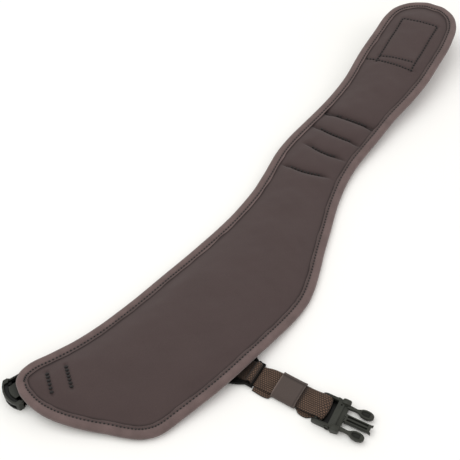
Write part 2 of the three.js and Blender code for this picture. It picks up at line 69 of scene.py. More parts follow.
# Each row is a line across the wing: the outer edge on either side with the height of the roll
# there, the crown between them, the crown's place across, and the depth of a sewn furrow.
WING_ROWS = np.array([
    # leftX, leftY, leftZ, rightX, rightY, rightZ, crown, ridge, furrow
    [4, 6.4, 16.2, -0.6, -3.6, 16, 0, 0.5, 0],
    [12, 11.6, 16.2, -2, -16, 15.4, 0, 0.5, 0],
    [26.5, 12.2, 15.2, -0.5, -30, 13.4, 0.6, 0.4, 0],
    [40, 8.8, 13.8, 4.7, -45, 11, 1.4, 0.3, 0],
    [52, 6.2, 12, 14, -63, 8.4, 2.4, 0.22, 0],
    [67, 3.2, 10, 27, -83, 6, 3.2, 0.2, 0],
    [83, 1, 8.3, 42, -106, 4.8, 3.6, 0.2, 0],
    [98, -0.4, 7, 57, -116.8, 5.2, 3.8, 0.22, 0],
    [114, -1.3, 6, 77, -121, 6.8, 4, 0.23, 0],
    [132, -2.2, 5.2, 97, -124.4, 9, 4, 0.24, 0],
    [153, -2.7, 4.6, 120, -127.8, 11.2, 4, 0.25, 0],
    [177, -3, 4.2, 146, -129.6, 12, 4.2, 0.27, 0],
    [203, -3.8, 4, 173, -130, 10.6, 4.4, 0.3, 0],
    [229, -4.1, 4, 200, -129.8, 7.5, 4.6, 0.36, 0],
    [254, -3.9, 4, 225.5, -128.8, 5, 4.6, 0.45, 0],
    [275, -2.8, 4, 249, -125, 4, 4.6, 0.55, 0],
    [296, -0.3, 4, 274, -114.8, 4, 4.4, 0.68, 0],
    [314, 2.6, 4.2, 300.6, -101, 4, 3.6, 0.72, 0],
    [330, 6.8, 4.4, 327.6, -88, 4.2, 2.6, 0.7, 0],
    [342, 10.2, 4.6, 355, -74.6, 4.4, 2, 0.6, 0],
    [354, 14, 4.8, 381, -64.6, 5, 1.8, 0.5, 2],
    [368, 18, 5, 396, -60.4, 6, 2.2, 0.5, 0],
    [382, 20.6, 5.3, 411, -57.5, 7.2, 1.8, 0.5, 2],
    [399, 22.3, 5.8, 421.5, -56.3, 8.2, 2.2, 0.5, 0],
    [415.5, 23, 6.4, 432.5, -55.3, 9.4, 1.8, 0.5, 2],
    [427.5, 23.4, 7, 443.5, -54.5, 10.6, 2, 0.5, 0],
    [439.5, 23.8, 7.6, 454.8, -53.7, 12, 1.4, 0.5, 2.6],
    [462, 25, 9, 479, -51.4, 15, 1.8, 0.5, 0],
    [483, 27.3, 10.6, 500, -51, 17.8, 1.8, 0.5, 0],
    [503, 30.6, 12.6, 519, -50.7, 20.3, 1.6, 0.5, 0],
    [526, 36.8, 15, 545, -48.6, 23.6, 1, 0.5, 1.2],
    [543, 41, 17, 559, -46.3, 25.6, 1, 0.5, 0],
    [562, 44.6, 19.2, 577, -42.8, 28, 1, 0.5, 0],
    [581, 48, 21.6, 596, -39.2, 30.6, 1, 0.5, 0],
    [599, 51.4, 24, 616.5, -33, 33.4, 0.8, 0.5, 0],
    [617, 51, 26.4, 628, -28, 34.8, 0.4, 0.5, 0],
    [630, 44.3, 28.8, 639, -18.8, 35.6, 0, 0.5, 0],
    [639.5, 34.2, 31, 645, -8.8, 35.6, 0, 0.5, 0],
    [645.6, 22.5, 33, 648, 3, 35, 0, 0.5, 0],
])

LEFT = slice(0, 3)
RIGHT = slice(3, 6)
CROWN = 6
RIDGE = 7
FURROW = 8


def smooth(value: Array, low: float, high: float) -> Array:
    """Smooth step from 0 at low to 1 at high.

    Args:
        value: The values to judge.
        low: Where the step starts.
        high: Where the step ends.

    Returns:
        Shares from 0 to 1.
    """
    share = np.clip((np.asarray(value, float) - low) / (high - low), 0, 1)
    return share * share * (3 - 2 * share)


def bump(distance: Array, width: float) -> Array:
    """Bell curve that is 1 at distance 0 and fades over the given width."""
    return np.exp(-(np.asarray(distance, float) / width) ** 2)


def between(values: Array, low: float, high: float) -> Array:
    """Whether values lie between two limits."""
    return (values > low) & (values < high)


def to_part(points: Array) -> Array:
    """Turn plan points in millimetres into points of the part in metres.

    Args:
        points: Plan X, plan Y and height, one point per row.

    Returns:
        The same points in the frame of the part.
    """
    placed = np.array(points, float)
    placed[:, :2] -= PLAN_CENTRE
    return placed * MM


def to_plan(points: Array) -> Array:
    """Plan X and Y in millimetres of points of the part in metres."""
    return points[:, :2] / MM + PLAN_CENTRE


def run_lengths(points: Array) -> Array:
    """Length along a line of points, from its start up to each of them."""
    return np.concatenate([[0], np.cumsum(np.linalg.norm(np.diff(points, axis=0), axis=1))])


def unit_rows(vectors: Array) -> Array:
    """The same directions with length 1, one per row."""
    return vectors / np.linalg.norm(vectors, axis=1, keepdims=True)


def read_at(places: Array, marks: Array, table: Array) -> Array:
    """Read a table between its rows.

    Args:
        places: Where to read it.
        marks: The place of each row.
        table: Rows of values.

    Returns:
        One row of values per place.
    """
    return np.column_stack([np.interp(places, marks, column) for column in table.T])


def waves(x: Array, y: Array, seed: int, length: float, count: int = 10) -> Array:
    """Smooth seeded ripples from a sum of plane waves.

    Args:
        x: First coordinate, in millimetres.
        y: Second coordinate.
        seed: Fixes the ripples, so that each run gives the same.
        length: Typical distance between crests, in millimetres.
        count: How many plane waves are added.

    Returns:
        A value of about -1 to 1 for each point.
    """
    rng = np.random.default_rng(seed)
    total = np.zeros_like(np.asarray(x, float))
    for _ in range(count):
        angle = rng.uniform(0, 2 * math.pi)
        step = 2 * math.pi / (length * rng.uniform(0.7, 1.5))
        total += np.sin((x * math.cos(angle) + y * math.sin(angle)) * step + rng.uniform(0, 7))
    return total / math.sqrt(count)


def spline(points: Array, params: Array) -> Array:
    """Centripetal Catmull-Rom curve through points.

    Args:
        points: The points that the curve passes through, one per row.
        params: Where to read it, counted in points from 0.

    Returns:
        One curve point per parameter.
    """
    padded = np.vstack([2 * points[:1] - points[1:2], points, 2 * points[-1:] - points[-2:-1]])
    index = np.clip(np.floor(params).astype(int), 0, len(points) - 2)
    part = (params - index)[:, None]
    p0, p1, p2, p3 = (padded[index + k] for k in range(4))
    pairs = ((p0, p1), (p1, p2), (p2, p3))
    gaps = [np.maximum(np.sum((b - a) ** 2, 1), 1e-9) ** 0.25 for a, b in pairs]
    d0, d1, d2 = (gap[:, None] for gap in gaps)
    m1 = ((p1 - p0) / d0 - (p2 - p0) / (d0 + d1) + (p2 - p1) / d1) * d1
    m2 = ((p2 - p1) / d1 - (p3 - p1) / (d1 + d2) + (p3 - p2) / d2) * d1
    a = 2 * p1 - 2 * p2 + m1 + m2
    b = -3 * p1 + 3 * p2 - 2 * m1 - m2
    return ((a * part + b) * part + m1) * part + p1


def segment_distance(x: Array, y: Array, a: Array, b: Array) -> Array:
    """Distance of plan points from a segment.

    Args:
        x: Plan X of the points.
        y: Plan Y of the points.
        a: Start of the segment.
        b: End of the segment.

    Returns:
        One distance per point.
    """
    span = b - a
    size = max(float(span @ span), 1e-9)
    share = np.clip(((x - a[0]) * span[0] + (y - a[1]) * span[1]) / size, 0, 1)
    return np.hypot(x - a[0] - share * span[0], y - a[1] - share * span[1])


def select_only(*objects: Object) -> None:
    """Select some objects and nothing else, with the first one active."""
    bpy.ops.object.select_all(action="DESELECT")
    for obj in objects:
        obj.select_set(True)
    bpy.context.view_layer.objects.active = objects[0]


@dataclass(frozen=True)
class WingPlace:
    """Where plan points lie on the wing.

    Args:
        along: Place along the wing, counted in rows.
        across: Distance from the left edge.
        width: Width of the wing there.
        rim: Height of the straight line from edge to edge there.
    """

    along: Array
    across: Array
    width: Array
    rim: Array


class Wing:
    """The shape that the foam, the edge tape and all seams share."""

    line_step = 0.5
    bound_width = 9.0

    def __init__(self) -> None:
        """Lay out the lines across the wing and its outline."""
        self.last = len(WING_ROWS) - 1
        self.left, self.right = self.line(np.arange(0, self.last + 0.01, self.line_step))
        middle = (self.left + self.right) / 2
        self.outline = np.vstack([self.left, middle[-1:], self.right[::-1], middle[:1]])

    def line(self, params: Array) -> tuple[Array, Array]:
        """Left and right edge points at places along the wing, counted in rows."""
        return spline(WING_ROWS[:, LEFT], params), spline(WING_ROWS[:, RIGHT], params)

    def locate(self, x: Array, y: Array) -> WingPlace:
        """Find plan points on the wing, from the first line across it that they don't pass.

        Args:
            x: Plan X of the points.
            y: Plan Y of the points.

        Returns:
            Their places on the wing.
        """
        dx = self.right[:, 0] - self.left[:, 0]
        dy = self.right[:, 1] - self.left[:, 1]
        side = dx * (y[:, None] - self.left[:, 1]) - dy * (x[:, None] - self.left[:, 0])
        beyond = side[:, 1:-1] <= 0
        index = np.where(beyond.any(1), beyond.argmax(1), len(dx) - 2)
        rows = np.arange(len(x))
        before, after = side[rows, index], side[rows, index + 1]
        spread = before - after
        share = np.where(spread == 0, 0, before / np.where(spread == 0, 1, spread))
        along = np.clip(share, 0, 1)[:, None]
        left = self.left[index] * (1 - along) + self.left[index + 1] * along
        right = self.right[index] * (1 - along) + self.right[index + 1] * along
        span = right[:, :2] - left[:, :2]
        width = np.hypot(span[:, 0], span[:, 1])
        across = ((x - left[:, 0]) * span[:, 0] + (y - left[:, 1]) * span[:, 1]) / width
        rim = left[:, 2] + (right[:, 2] - left[:, 2]) * np.clip(across / width, 0, 1)
        return WingPlace((index + along[:, 0]) * self.line_step, np.clip(across, 0, width), width, rim)

    def height(self, x: Array, y: Array) -> Array:
        """Height of the wing's middle surface, which is crowned between its bound edges.

        Args:
            x: Plan X of the points.
            y: Plan Y of the points.

        Returns:
            One height per point, in millimetres.
        """
        place = self.locate(x, y)
        rows = np.arange(self.last + 1)
        crown = np.interp(place.along, rows, WING_ROWS[:, CROWN])
        ridge = np.interp(place.along, rows, WING_ROWS[:, RIDGE])
        free_width = np.maximum(place.width - 2 * self.bound_width, 1)
        share = np.clip((place.across - self.bound_width) / free_width, 0, 1)
        fall = np.where(share < ridge, (ridge - share) / ridge, (share - ridge) / (1 - ridge))
        return place.rim + crown * (1 - fall * fall)

    def edge_distance(self, x: Array, y: Array) -> Array:
        """Distance of plan points from the outline.

        Args:
            x: Plan X of the points.
            y: Plan Y of the points.

        Returns:
            One distance per point, in millimetres.
        """
        nearest = np.full(len(x), np.inf)
        ring = np.vstack([self.outline, self.outline[:1]])[:, :2]
        for a, b in zip(ring[:-1], ring[1:]):
            nearest = np.minimum(nearest, segment_distance(x, y, a, b))
        return nearest


class SeamKind(Enum):
    """How a seam shows in the foam: depth and pull width in millimetres, painted shade as a share."""

    CREASE = (5.2, 8.0, 0.75)
    TUCK = (4.6, 8.0, 0.32)
    STITCHED = (1.0, 3.0, 0.1)
    TACKED = (1.8, 4.0, 0.25)

    def __init__(self, depth: float, width: float, dark: float) -> None:
        """Give the values of a kind their names.

        Args:
            depth: How deep the foam is drawn in.
            width: How wide the foam is pulled down on either side.
            dark: How much painted shade darkens the bottom of the furrow.
        """
        self.depth = depth
        self.width = width
        self.dark = dark


@dataclass(frozen=True)
class Seam:
    """One row of stitches through the wing.

    Args:
        start: Plan place of the first stitch.
        end: Plan place of the last stitch.
        kind: How deep it draws the foam in.
        fade: Length beyond each end over which the furrow runs out.
        across: Whether its stitches lie across the row.
        bow: How far its middle is curved towards the pointed end.
    """

    start: tuple[float, float]
    end: tuple[float, float]
    kind: SeamKind
    fade: float = 4.0
    across: bool = False
    bow: float = 0.0

    def run(self) -> tuple[Array, Array, float]:
        """First stitch, direction and length of the row.

        Returns:
            Plan place, unit vector, and length in millimetres.
        """
        start, end = np.array(self.start), np.array(self.end)
        length = float(np.linalg.norm(end - start))
        return start, (end - start) / length, length

    def sag(self, share: Array) -> Array:
        """How far the row lies aside of its straight line, at shares of its length."""
        return self.bow * (1 - (2 * share - 1) ** 2)

    def pull(self, x: Array, y: Array) -> tuple[Array, Array]:
        """Draw the foam in along the row.

        Args:
            x: Plan X of the points.
            y: Plan Y of the points.

        Returns:
            How far each point is drawn in, and how much painted shade darkens it.
        """
        core_width, core_share, reach = 1.5, 0.35, 1.6
        start, axis, length = self.run()
        along = (x - start[0]) * axis[0] + (y - start[1]) * axis[1]
        aside = (x - start[0]) * axis[1] - (y - start[1]) * axis[0]
        off = np.abs(aside - self.sag(np.clip(along / length, 0, 1)))
        past_end = np.maximum(0, np.maximum(-along, along - length))
        run_out = 1 - smooth(past_end, 0, self.fade)
        sharp = bump(off, core_width)
        broad = bump(off, reach * self.kind.width) / (1 + (off / self.kind.width * 2) ** 2)
        depth = self.kind.depth * (core_share * sharp + (1 - core_share) * broad)
        return depth * run_out, self.kind.dark * sharp * run_out


SEAMS = (
    Seam((445, 27), (460.8, -50.9), SeamKind.CREASE, bow=1.6),
    Seam((423.9, 3.5), (428.9, -33.5), SeamKind.TUCK, fade=17, bow=1.8),
    Seam((397.5, -6), (402.9, -33.7), SeamKind.TUCK, fade=15, bow=2.0),
    Seam((362.3, -5.9), (373, -37.9), SeamKind.TUCK, fade=13, bow=2.0),
    Seam((29.1, -6.3), (18.5, -25), SeamKind.TACKED, across=True),
    Seam((45.2, -12.7), (33.8, -33.2), SeamKind.TACKED, across=True),
    Seam((607.1, 30.1), (616.4, -10.1), SeamKind.STITCHED),
    Seam((616.4, -10.1), (544.3, -25.3), SeamKind.STITCHED),
    Seam((607.1, 30.1), (535.6, 14.5), SeamKind.STITCHED),
    Seam((545.7, 18.1), (556.5, -20.2), SeamKind.STITCHED),
    Seam((535.9, 28.2), (546.5, -27.2), SeamKind.STITCHED, fade=5),
)


class MeshMaker:
    """Turns arrays into finished mesh objects."""

    @staticmethod
    def build(name: str, points: Array, faces: Sequence[Sequence[int]], finish: "Finish",
              uv: Array | None = None, shade: Array | None = None) -> Object:
        """Make an object from points in metres and faces.

        Args:
            name: Name of the piece.
            points: One row per vertex.
            faces: Vertex numbers of each face, counter-clockwise from outside.
            finish: Material that the piece wears.
            uv: Pattern coordinates per face corner.
            shade: Painted shade per vertex, 0 to 1.

        Returns:
            The linked object, at the origin.
        """
        mesh = bpy.data.meshes.new(name)
        mesh.from_pydata([tuple(p) for p in points], [], [tuple(f) for f in faces])
        mesh.update()
        if uv is not None:
            layer = mesh.uv_layers.new(name="weave")
            layer.data.foreach_set("uv", np.asarray(uv, np.float32).ravel())
        if shade is not None:
            MeshMaker.attribute(mesh, "shade", shade)
        obj = bpy.data.objects.new(name, mesh)
        bpy.context.scene.collection.objects.link(obj)
        mesh.materials.append(finish.material())
        mesh.polygons.foreach_set("use_smooth", [True] * len(mesh.polygons))
        return obj

    @staticmethod
    def attribute(mesh: bpy.types.Mesh, name: str, values: Array) -> None:
        """Store one number per vertex under a name."""
        layer = mesh.attributes.get(name) or mesh.attributes.new(name, "FLOAT", "POINT")
        layer.data.foreach_set("value", np.asarray(values, np.float32))

    @staticmethod
    def coordinates(obj: Object) -> Array:
        """Read the vertex places of an object.

        Args:
            obj: The object.

        Returns:
            One row per vertex, in metres.
        """
        flat = np.zeros(len(obj.data.vertices) * 3, np.float32)
        obj.data.vertices.foreach_get("co", flat)
        return flat.reshape(-1, 3).astype(float)

    @staticmethod
    def move(obj: Object, points: Array) -> None:
        """Set the vertex places of an object."""
        obj.data.vertices.foreach_set("co", points.astype(np.float32).ravel())
        obj.data.update()

    @staticmethod
    def apply(obj: Object, name: str) -> None:
        """Apply one modifier of an object."""
        select_only(obj)
        bpy.ops.object.modifier_apply(modifier=name)

    @staticmethod
    def modify(obj: Object, kind: str, **settings: object) -> None:
        """Change a mesh by one modifier, and apply it.

        Args:
            obj: The object.
            kind: The modifier's type.
            settings: Values of the modifier, by name.
        """
        modifier = obj.modifiers.new(kind.lower(), kind)
        for key, value in settings.items():
            setattr(modifier, key, value)
        MeshMaker.apply(obj, modifier.name)

    @staticmethod
    def refine(obj: Object) -> None:
        """Refine a mesh with one level of smooth subdivision."""
        MeshMaker.modify(obj, "SUBSURF", levels=1, render_levels=1, uv_smooth="PRESERVE_BOUNDARIES")

    @staticmethod
    def turn_outwards(obj: Object) -> None:
        """Recalculate the normals of a closed mesh.

        Args:
            obj: The object.
        """
        work = bmesh.new()
        work.from_mesh(obj.data)
        bmesh.ops.recalc_face_normals(work, faces=work.faces)
        work.to_mesh(obj.data)
        work.free()


def ring_faces(rings: int, size: int, closed: bool) -> list[tuple[int, ...]]:
    """Quads of a skin over equal rings of points.

    Args:
        rings: Number of rings along the skin.
        size: Points in each ring, which closes on itself.
        closed: Whether the last ring joins the first.

    Returns:
        The quads, facing outwards where a ring turns counter-clockwise seen from its start.
    """
    faces = []
    for i in range(rings if closed else rings - 1):
        n = (i + 1) % rings
        for j in range(size):
            k = (j + 1) % size
            faces.append((i * size + j, n * size + j, n * size + k, i * size + k))
    return faces


def scaled(color: Color, share: float) -> Color:
    """A colour made darker or lighter."""
    return tuple(c * share for c in color)


class NodeBoard:
    """Short hand for laying out a material's nodes."""

    def __init__(self, name: str) -> None:
        """Start an empty material with its shader.

        Args:
            name: Name of the material.
        """
        self.material = bpy.data.materials.new(name)
        self.material.use_nodes = True
        self.tree = self.material.node_tree
        self.shader = self.tree.nodes["Principled BSDF"]

    def add(self, kind: str, settings: dict | None = None, **inputs: object) -> bpy.types.Node:
        """Add a node.

        Args:
            kind: The node's type.
            settings: Its options, by name.
            inputs: Sockets or values for its inputs, by name.

        Returns:
            The new node.
        """
        node = self.tree.nodes.new(kind)
        for key, value in (settings or {}).items():
            setattr(node, key, value)
        for key, value in inputs.items():
            self.feed(node.inputs[key], value)
        return node

    def feed(self, socket: Socket, value: object) -> None:
        """Link a socket to another one, or set its value.

        Args:
            socket: The input.
            value: Another socket, a number or a colour.
        """
        if isinstance(value, Socket):
            self.tree.links.new(value, socket)
        else:
            socket.default_value = value

    def math(self, operation: str, a: object, b: object = 0.0) -> Socket:
        """Calculate with a math node.

        Args:
            operation: What it does.
            a: First socket or number.
            b: Second socket or number, where the operation has one.

        Returns:
            The result.
        """
        node = self.add("ShaderNodeMath", {"operation": operation})
        self.feed(node.inputs[0], a)
        self.feed(node.inputs[1], b)
        return node.outputs[0]

    def place(self) -> Socket:
        """Place on the piece, in metres."""
        return self.add("ShaderNodeTexCoord").outputs["Object"]

    def weave(self) -> tuple[Socket, Socket]:
        """Millimetres along and across a strap or tape, from its own UV map."""
        uv = self.add("ShaderNodeUVMap", {"uv_map": "weave"}).outputs[0]
        return tuple(self.add("ShaderNodeSeparateXYZ", Vector=uv).outputs[:2])

    def noise(self, vector: object, scale: float, detail: float) -> Socket:
        """Grey noise of the given scale per metre."""
        return self.add("ShaderNodeTexNoise", Vector=vector, Scale=scale, Detail=detail).outputs[0]

    def wave(self, value: object, pitch: float) -> Socket:
        """Sine of a value that repeats at each pitch."""
        return self.math("SINE", self.math("MULTIPLY", value, 2 * math.pi / pitch))

    def tones(self, value: object, color: Color, dark: Stop, light: Stop) -> Socket:
        """Shade one colour by a value.

        Args:
            value: What the shade follows.
            color: The colour.
            dark: Value at the dark end, and the colour's share there.
            light: The same for the light end.

        Returns:
            The shaded colour.
        """
        node = self.add("ShaderNodeValToRGB", Fac=value)
        for element, (place, share) in zip(node.color_ramp.elements, (dark, light)):
            element.position = place
            element.color = (*scaled(color, share), 1)
        return node.outputs[0]

    def blend(self, share: object, a: object, b: object, mode: str = "MIX") -> Socket:
        """Mix two colours.

        Args:
            share: How much of the second colour shows.
            a: First socket or colour.
            b: Second socket or colour.
            mode: How the second colour is laid over the first.

        Returns:
            The mixed colour.
        """
        node = self.add("ShaderNodeMix", {"data_type": "RGBA", "blend_type": mode})
        self.feed(node.inputs[0], share)
        for socket, color in ((node.inputs[6], a), (node.inputs[7], b)):
            self.feed(socket, color if isinstance(color, Socket) else (*color, 1))
        return node.outputs[2]

    def speckle(self, base: object, share: float, value: object, dark: Stop, light: Stop) -> Socket:
        """Darken and lighten a colour by a value.

        Args:
            base: The colour.
            share: How strongly it is changed.
            value: What the change follows.
            dark: Value at the dark end, and the factor there.
            light: The same for the light end.

        Returns:
            The changed colour.
        """
        return self.blend(share, base, self.tones(value, (1, 1, 1), dark, light), "MULTIPLY")

    def paint(self, name: str, base: object, color: Color) -> Socket:
        """Show another colour where the piece's attribute of that name says so."""
        share = self.add("ShaderNodeAttribute", {"attribute_name": name}).outputs["Fac"]
        return self.blend(share, base, color)

    def relief(self, height: object, depth: float, strength: float,
               below: object | None = None) -> Socket:
        """Bump from a height map.

        Args:
            height: The height map, 0 to 1.
            depth: Height in metres that 1 stands for.
            strength: How strongly it shows.
            below: Another bump that it lies on.

        Returns:
            The bumped normal.
        """
        node = self.add("ShaderNodeBump", Height=height, Distance=depth, Strength=strength)
        if below is not None:
            self.feed(node.inputs["Normal"], below)
        return node.outputs[0]

    def finish(self, color: object, roughness: object, normal: object, specular: float,
               sheen: float = 0.0, sheen_roughness: float = 0.5) -> None:
        """Set up the shader.

        Args:
            color: The base colour.
            roughness: The roughness.
            normal: The bumped normal.
            specular: Specular level.
            sheen: Weight of the cloth's sheen.
            sheen_roughness: Roughness of that sheen.
        """
        values = {
            "Base Color": color, "Roughness": roughness, "Normal": normal,
            "Specular IOR Level": specular, "Sheen Weight": sheen, "Sheen Roughness": sheen_roughness,
        }
        for name, value in values.items():
            self.feed(self.shader.inputs[name], value)


def srgb(red: int, green: int, blue: int) -> Color:
    """Linear colour of screen values from 0 to 255.

    Args:
        red: Red value.
        green: Green value.
        blue: Blue value.

    Returns:
        The colour as shaders take it.
    """
    shares = [value / 255 for value in (red, green, blue)]
    return tuple(s / 12.92 if s <= 0.04045 else ((s + 0.055) / 1.055) ** 2.4 for s in shares)


@dataclass
class Finish:
    """A material with its record slot, made once and shared by its pieces."""

    name: str
    slot: str
    made: bpy.types.Material | None = field(default=None, init=False)

    def material(self) -> bpy.types.Material:
        """Make the material, or return it if it is made.

        Returns:
            The finished material.
        """
        if self.made is None:
            board = NodeBoard(self.name)
            self.lay_out(board)
            self.made = board.material
        return self.made

    def lay_out(self, board: NodeBoard) -> None:
        """Lay out the nodes of this finish."""
        raise NotImplementedError


@dataclass
class Knit(Finish):
    """Smooth fine jersey bonded to foam."""

    color: Color = srgb(70, 57, 56)
    rib: float = 0.018

    def lay_out(self, board: NodeBoard) -> None:
        """Fine ribs, soft mottling, pale wear, and painted shade in furrows and folds.

        Args:
            board: The empty material.
        """
        place = board.place()
        grain = board.noise(place, scale=1600, detail=2)
        base = board.tones(board.noise(place, scale=38, detail=4), self.color, (0.3, 0.97), (0.7, 1.03))
        speckled = board.speckle(base, 0.35, grain, (0.3, 0.62), (0.75, 1.25))
        wear_and_highlight = board.paint("wear_and_highlight", speckled, scaled(self.color, 2.6))
        # Painted shade where the shade attribute says: seam furrows, the strip by the tape, folds.
        dark = board.paint("shade", wear_and_highlight, scaled(self.color, 0.16))
        ribs = board.add("ShaderNodeTexWave", {"wave_type": "BANDS", "bands_direction": "DIAGONAL"},
                         Vector=place, Scale=1 / self.rib, Distortion=1.2, Detail=1.0).outputs[1]
        fine = board.relief(ribs, depth=0.00006, strength=0.35)
        normal = board.relief(grain, depth=0.00012, strength=0.6, below=fine)
        board.finish(dark, 0.92, normal, specular=0.25, sheen=0.12, sheen_roughness=0.6)


@dataclass
class Tape(Finish):
    """Ribbed tape folded over the edge."""

    color: Color = srgb(104, 87, 85)
    rib: float = 0.9
    thread: float = 0.55

    def lay_out(self, board: NodeBoard) -> None:
        """Ribs across the tape, a painted lip highlight, and painted shade in its groove and flap.

        Args:
            board: The empty material.
        """
        along, around = board.weave()
        ribs = board.math("MULTIPLY", board.wave(along, self.rib), 0.7)
        threads = board.math("MULTIPLY", board.wave(around, self.thread), 0.3)
        weave = board.math("ADD", ribs, threads)
        place = board.place()
        grain = board.noise(place, scale=2200, detail=2)
        base = board.tones(board.noise(place, scale=90, detail=4), self.color, (0.3, 0.86), (0.72, 1.14))
        woven = board.speckle(base, 0.3, weave, (0.0, 0.6), (0.9, 1.3))
        fuzzy = board.speckle(woven, 0.3, grain, (0.3, 0.7), (0.7, 1.25))
        # Painted highlight on the tape's lip, strongest along the left edge.
        wear_and_highlight = board.paint("wear_and_highlight", fuzzy, scaled(self.color, 1.9))
        # Painted shade where the shade attribute says: the stitched groove and the flap.
        dark = board.paint("shade", wear_and_highlight, scaled(self.color, 0.16))
        fine = board.relief(grain, depth=0.0001, strength=0.5)
        normal = board.relief(weave, depth=0.0001, strength=0.6, below=fine)
        board.finish(dark, 0.85, normal, specular=0.3, sheen=0.2)


@dataclass
class Weave(Finish):
    """Flat woven webbing, its ribs running along the strap in offset columns."""

    color: Color = srgb(73, 55, 43)
    column: float = 1.9
    pick: float = 2.1

    def floats(self, board: NodeBoard) -> Socket:
        """Rounded floats in columns, each column half a float further on than its neighbour.

        Args:
            board: The material that is laid out.

        Returns:
            Height of the weave, 0 to 1.
        """
        along, sideways = board.weave()
        across = board.math("DIVIDE", sideways, self.column)
        cell = board.math("FLOOR", across)
        inside = board.math("SUBTRACT", across, cell)
        column = board.math("SINE", board.math("MULTIPLY", inside, math.pi))
        odd = board.math("MULTIPLY", board.math("PINGPONG", cell, 1.0), 0.5)
        turn = board.math("ADD", board.math("DIVIDE", along, self.pick), odd)
        pick = board.math("ABSOLUTE", board.math("SINE", board.math("MULTIPLY", turn, math.pi)))
        return board.math("POWER", board.math("MULTIPLY", column, pick), 0.6)

    def lay_out(self, board: NodeBoard) -> None:
        """Lit floats with dark gaps, a little fuzz, and deep shade between layers.

        Args:
            board: The empty material.
        """
        weave = self.floats(board)
        place = board.place()
        grain = board.noise(place, scale=2600, detail=2)
        base = board.tones(board.noise(place, scale=130, detail=3), self.color, (0.3, 0.85), (0.7, 1.15))
        woven = board.speckle(base, 0.9, weave, (0.3, 0.06), (0.85, 1.9))
        fuzzy = board.speckle(woven, 0.3, grain, (0.3, 0.7), (0.7, 1.25))
        dark = board.paint("shade", fuzzy, scaled(self.color, 0.2))
        fine = board.relief(grain, depth=0.0001, strength=0.4)
        normal = board.relief(weave, depth=0.0004, strength=0.8, below=fine)
        board.finish(dark, 0.78, normal, specular=0.35, sheen=0.1)


@dataclass
class Moulded(Finish):
    """Injection-moulded plastic with a fine matt grain."""

    color: Color = srgb(52, 53, 48)
    roughness: float = 0.4
    specular: float = 0.15

    def lay_out(self, board: NodeBoard) -> None:
        """Fine grain, faint scuffs, uneven gloss, and painted shade where the piece says so.

        Args:
            board: The empty material.
        """
        unevenness = 0.16
        place = board.place()
        grain = board.noise(place, scale=2400, detail=2)
        cloud = board.noise(place, scale=120, detail=4)
        stretched = board.add("ShaderNodeMapping", Vector=place, Scale=(1, 7, 3)).outputs[0]
        scuffs = board.math("SUBTRACT", board.noise(stretched, scale=260, detail=5), 0.6)
        scuffed = board.math("MULTIPLY", board.math("MAXIMUM", scuffs, 0.0), 1.5)
        base = board.tones(cloud, self.color, (0.35, 0.9), (0.7, 1.12))
        wear_and_highlight = board.blend(scuffed, base, scaled(self.color, 2.4))
        # Painted shade in slots, recesses and under the wing, where the shade attribute says.
        dark = board.paint("shade", wear_and_highlight, scaled(self.color, 0.08))
        clouded = board.math("MULTIPLY", cloud, unevenness)
        gloss = board.math("ADD", clouded, self.roughness - unevenness / 2)
        board.finish(dark, gloss, board.relief(grain, depth=0.00005, strength=0.45), self.specular)


@dataclass
class Thread(Finish):
    """Twisted sewing thread, near black so it also stands for the painted shade of needle holes."""

    # The thread's own dark colour, made near black as painted shade of its needle holes.
    color: Color = srgb(17, 13, 13)

    def lay_out(self, board: NodeBoard) -> None:
        """Fine twist and a soft sheen.

        Args:
            board: The empty material.
        """
        grain = board.noise(board.place(), scale=2200, detail=2)
        base = board.tones(grain, self.color, (0.3, 0.7), (0.7, 1.5))
        board.finish(base, 0.7, board.relief(grain, depth=0.0001, strength=0.5), specular=0.5, sheen=0.1)


@dataclass
class Tabletop(Finish):
    """Matt white surface that the strap lies on."""

    color: Color = (0.93, 0.925, 0.91)

    def lay_out(self, board: NodeBoard) -> None:
        """Even white with a trace of tooth.

        Args:
            board: The empty material.
        """
        tooth = board.noise(board.place(), scale=900, detail=2)
        base = board.tones(tooth, self.color, (0.2, 0.985), (0.8, 1.0))
        board.finish(base, 0.9, board.relief(tooth, depth=0.00002, strength=0.2), specular=0.1)


class Wardrobe:
    """All finishes of the strap."""

    def __init__(self) -> None:
        """Choose each finish and the record's slot that it belongs to."""
        self.pad = Knit("pad_knit", "pad_fabric")
        self.tape = Tape("edge_tape", "binding_tape")
        self.webbing = Weave("webbing_weave", "webbing")
        self.keeper = Knit("keeper_cloth", "keeper_fabric", srgb(75, 65, 61), rib=0.014)
        self.buckle = Moulded("buckle_plastic", "buckle_plastic")
        self.slider = Moulded("slider_plastic", "slider_plastic", srgb(20, 20, 18), 0.5, 0.08)
        self.thread = Thread("sewing_thread", "pad_fabric")
        self.floor = Tabletop("tabletop", "")


FINISHES = Wardrobe()


def wear(obj: Object, finish: Finish, *nodes: str) -> Object:
    """Let a piece ride on the part, and stand for CAD nodes.

    Args:
        obj: The finished piece.
        finish: The finish that it wears; not used.
        nodes: The CAD nodes that it stands for.

    Returns:
        The same piece.
    """
    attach(obj, "root")
    if nodes:
        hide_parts(*nodes)
    log.info("%s: %d faces", obj.name, len(obj.data.polygons))
    return obj


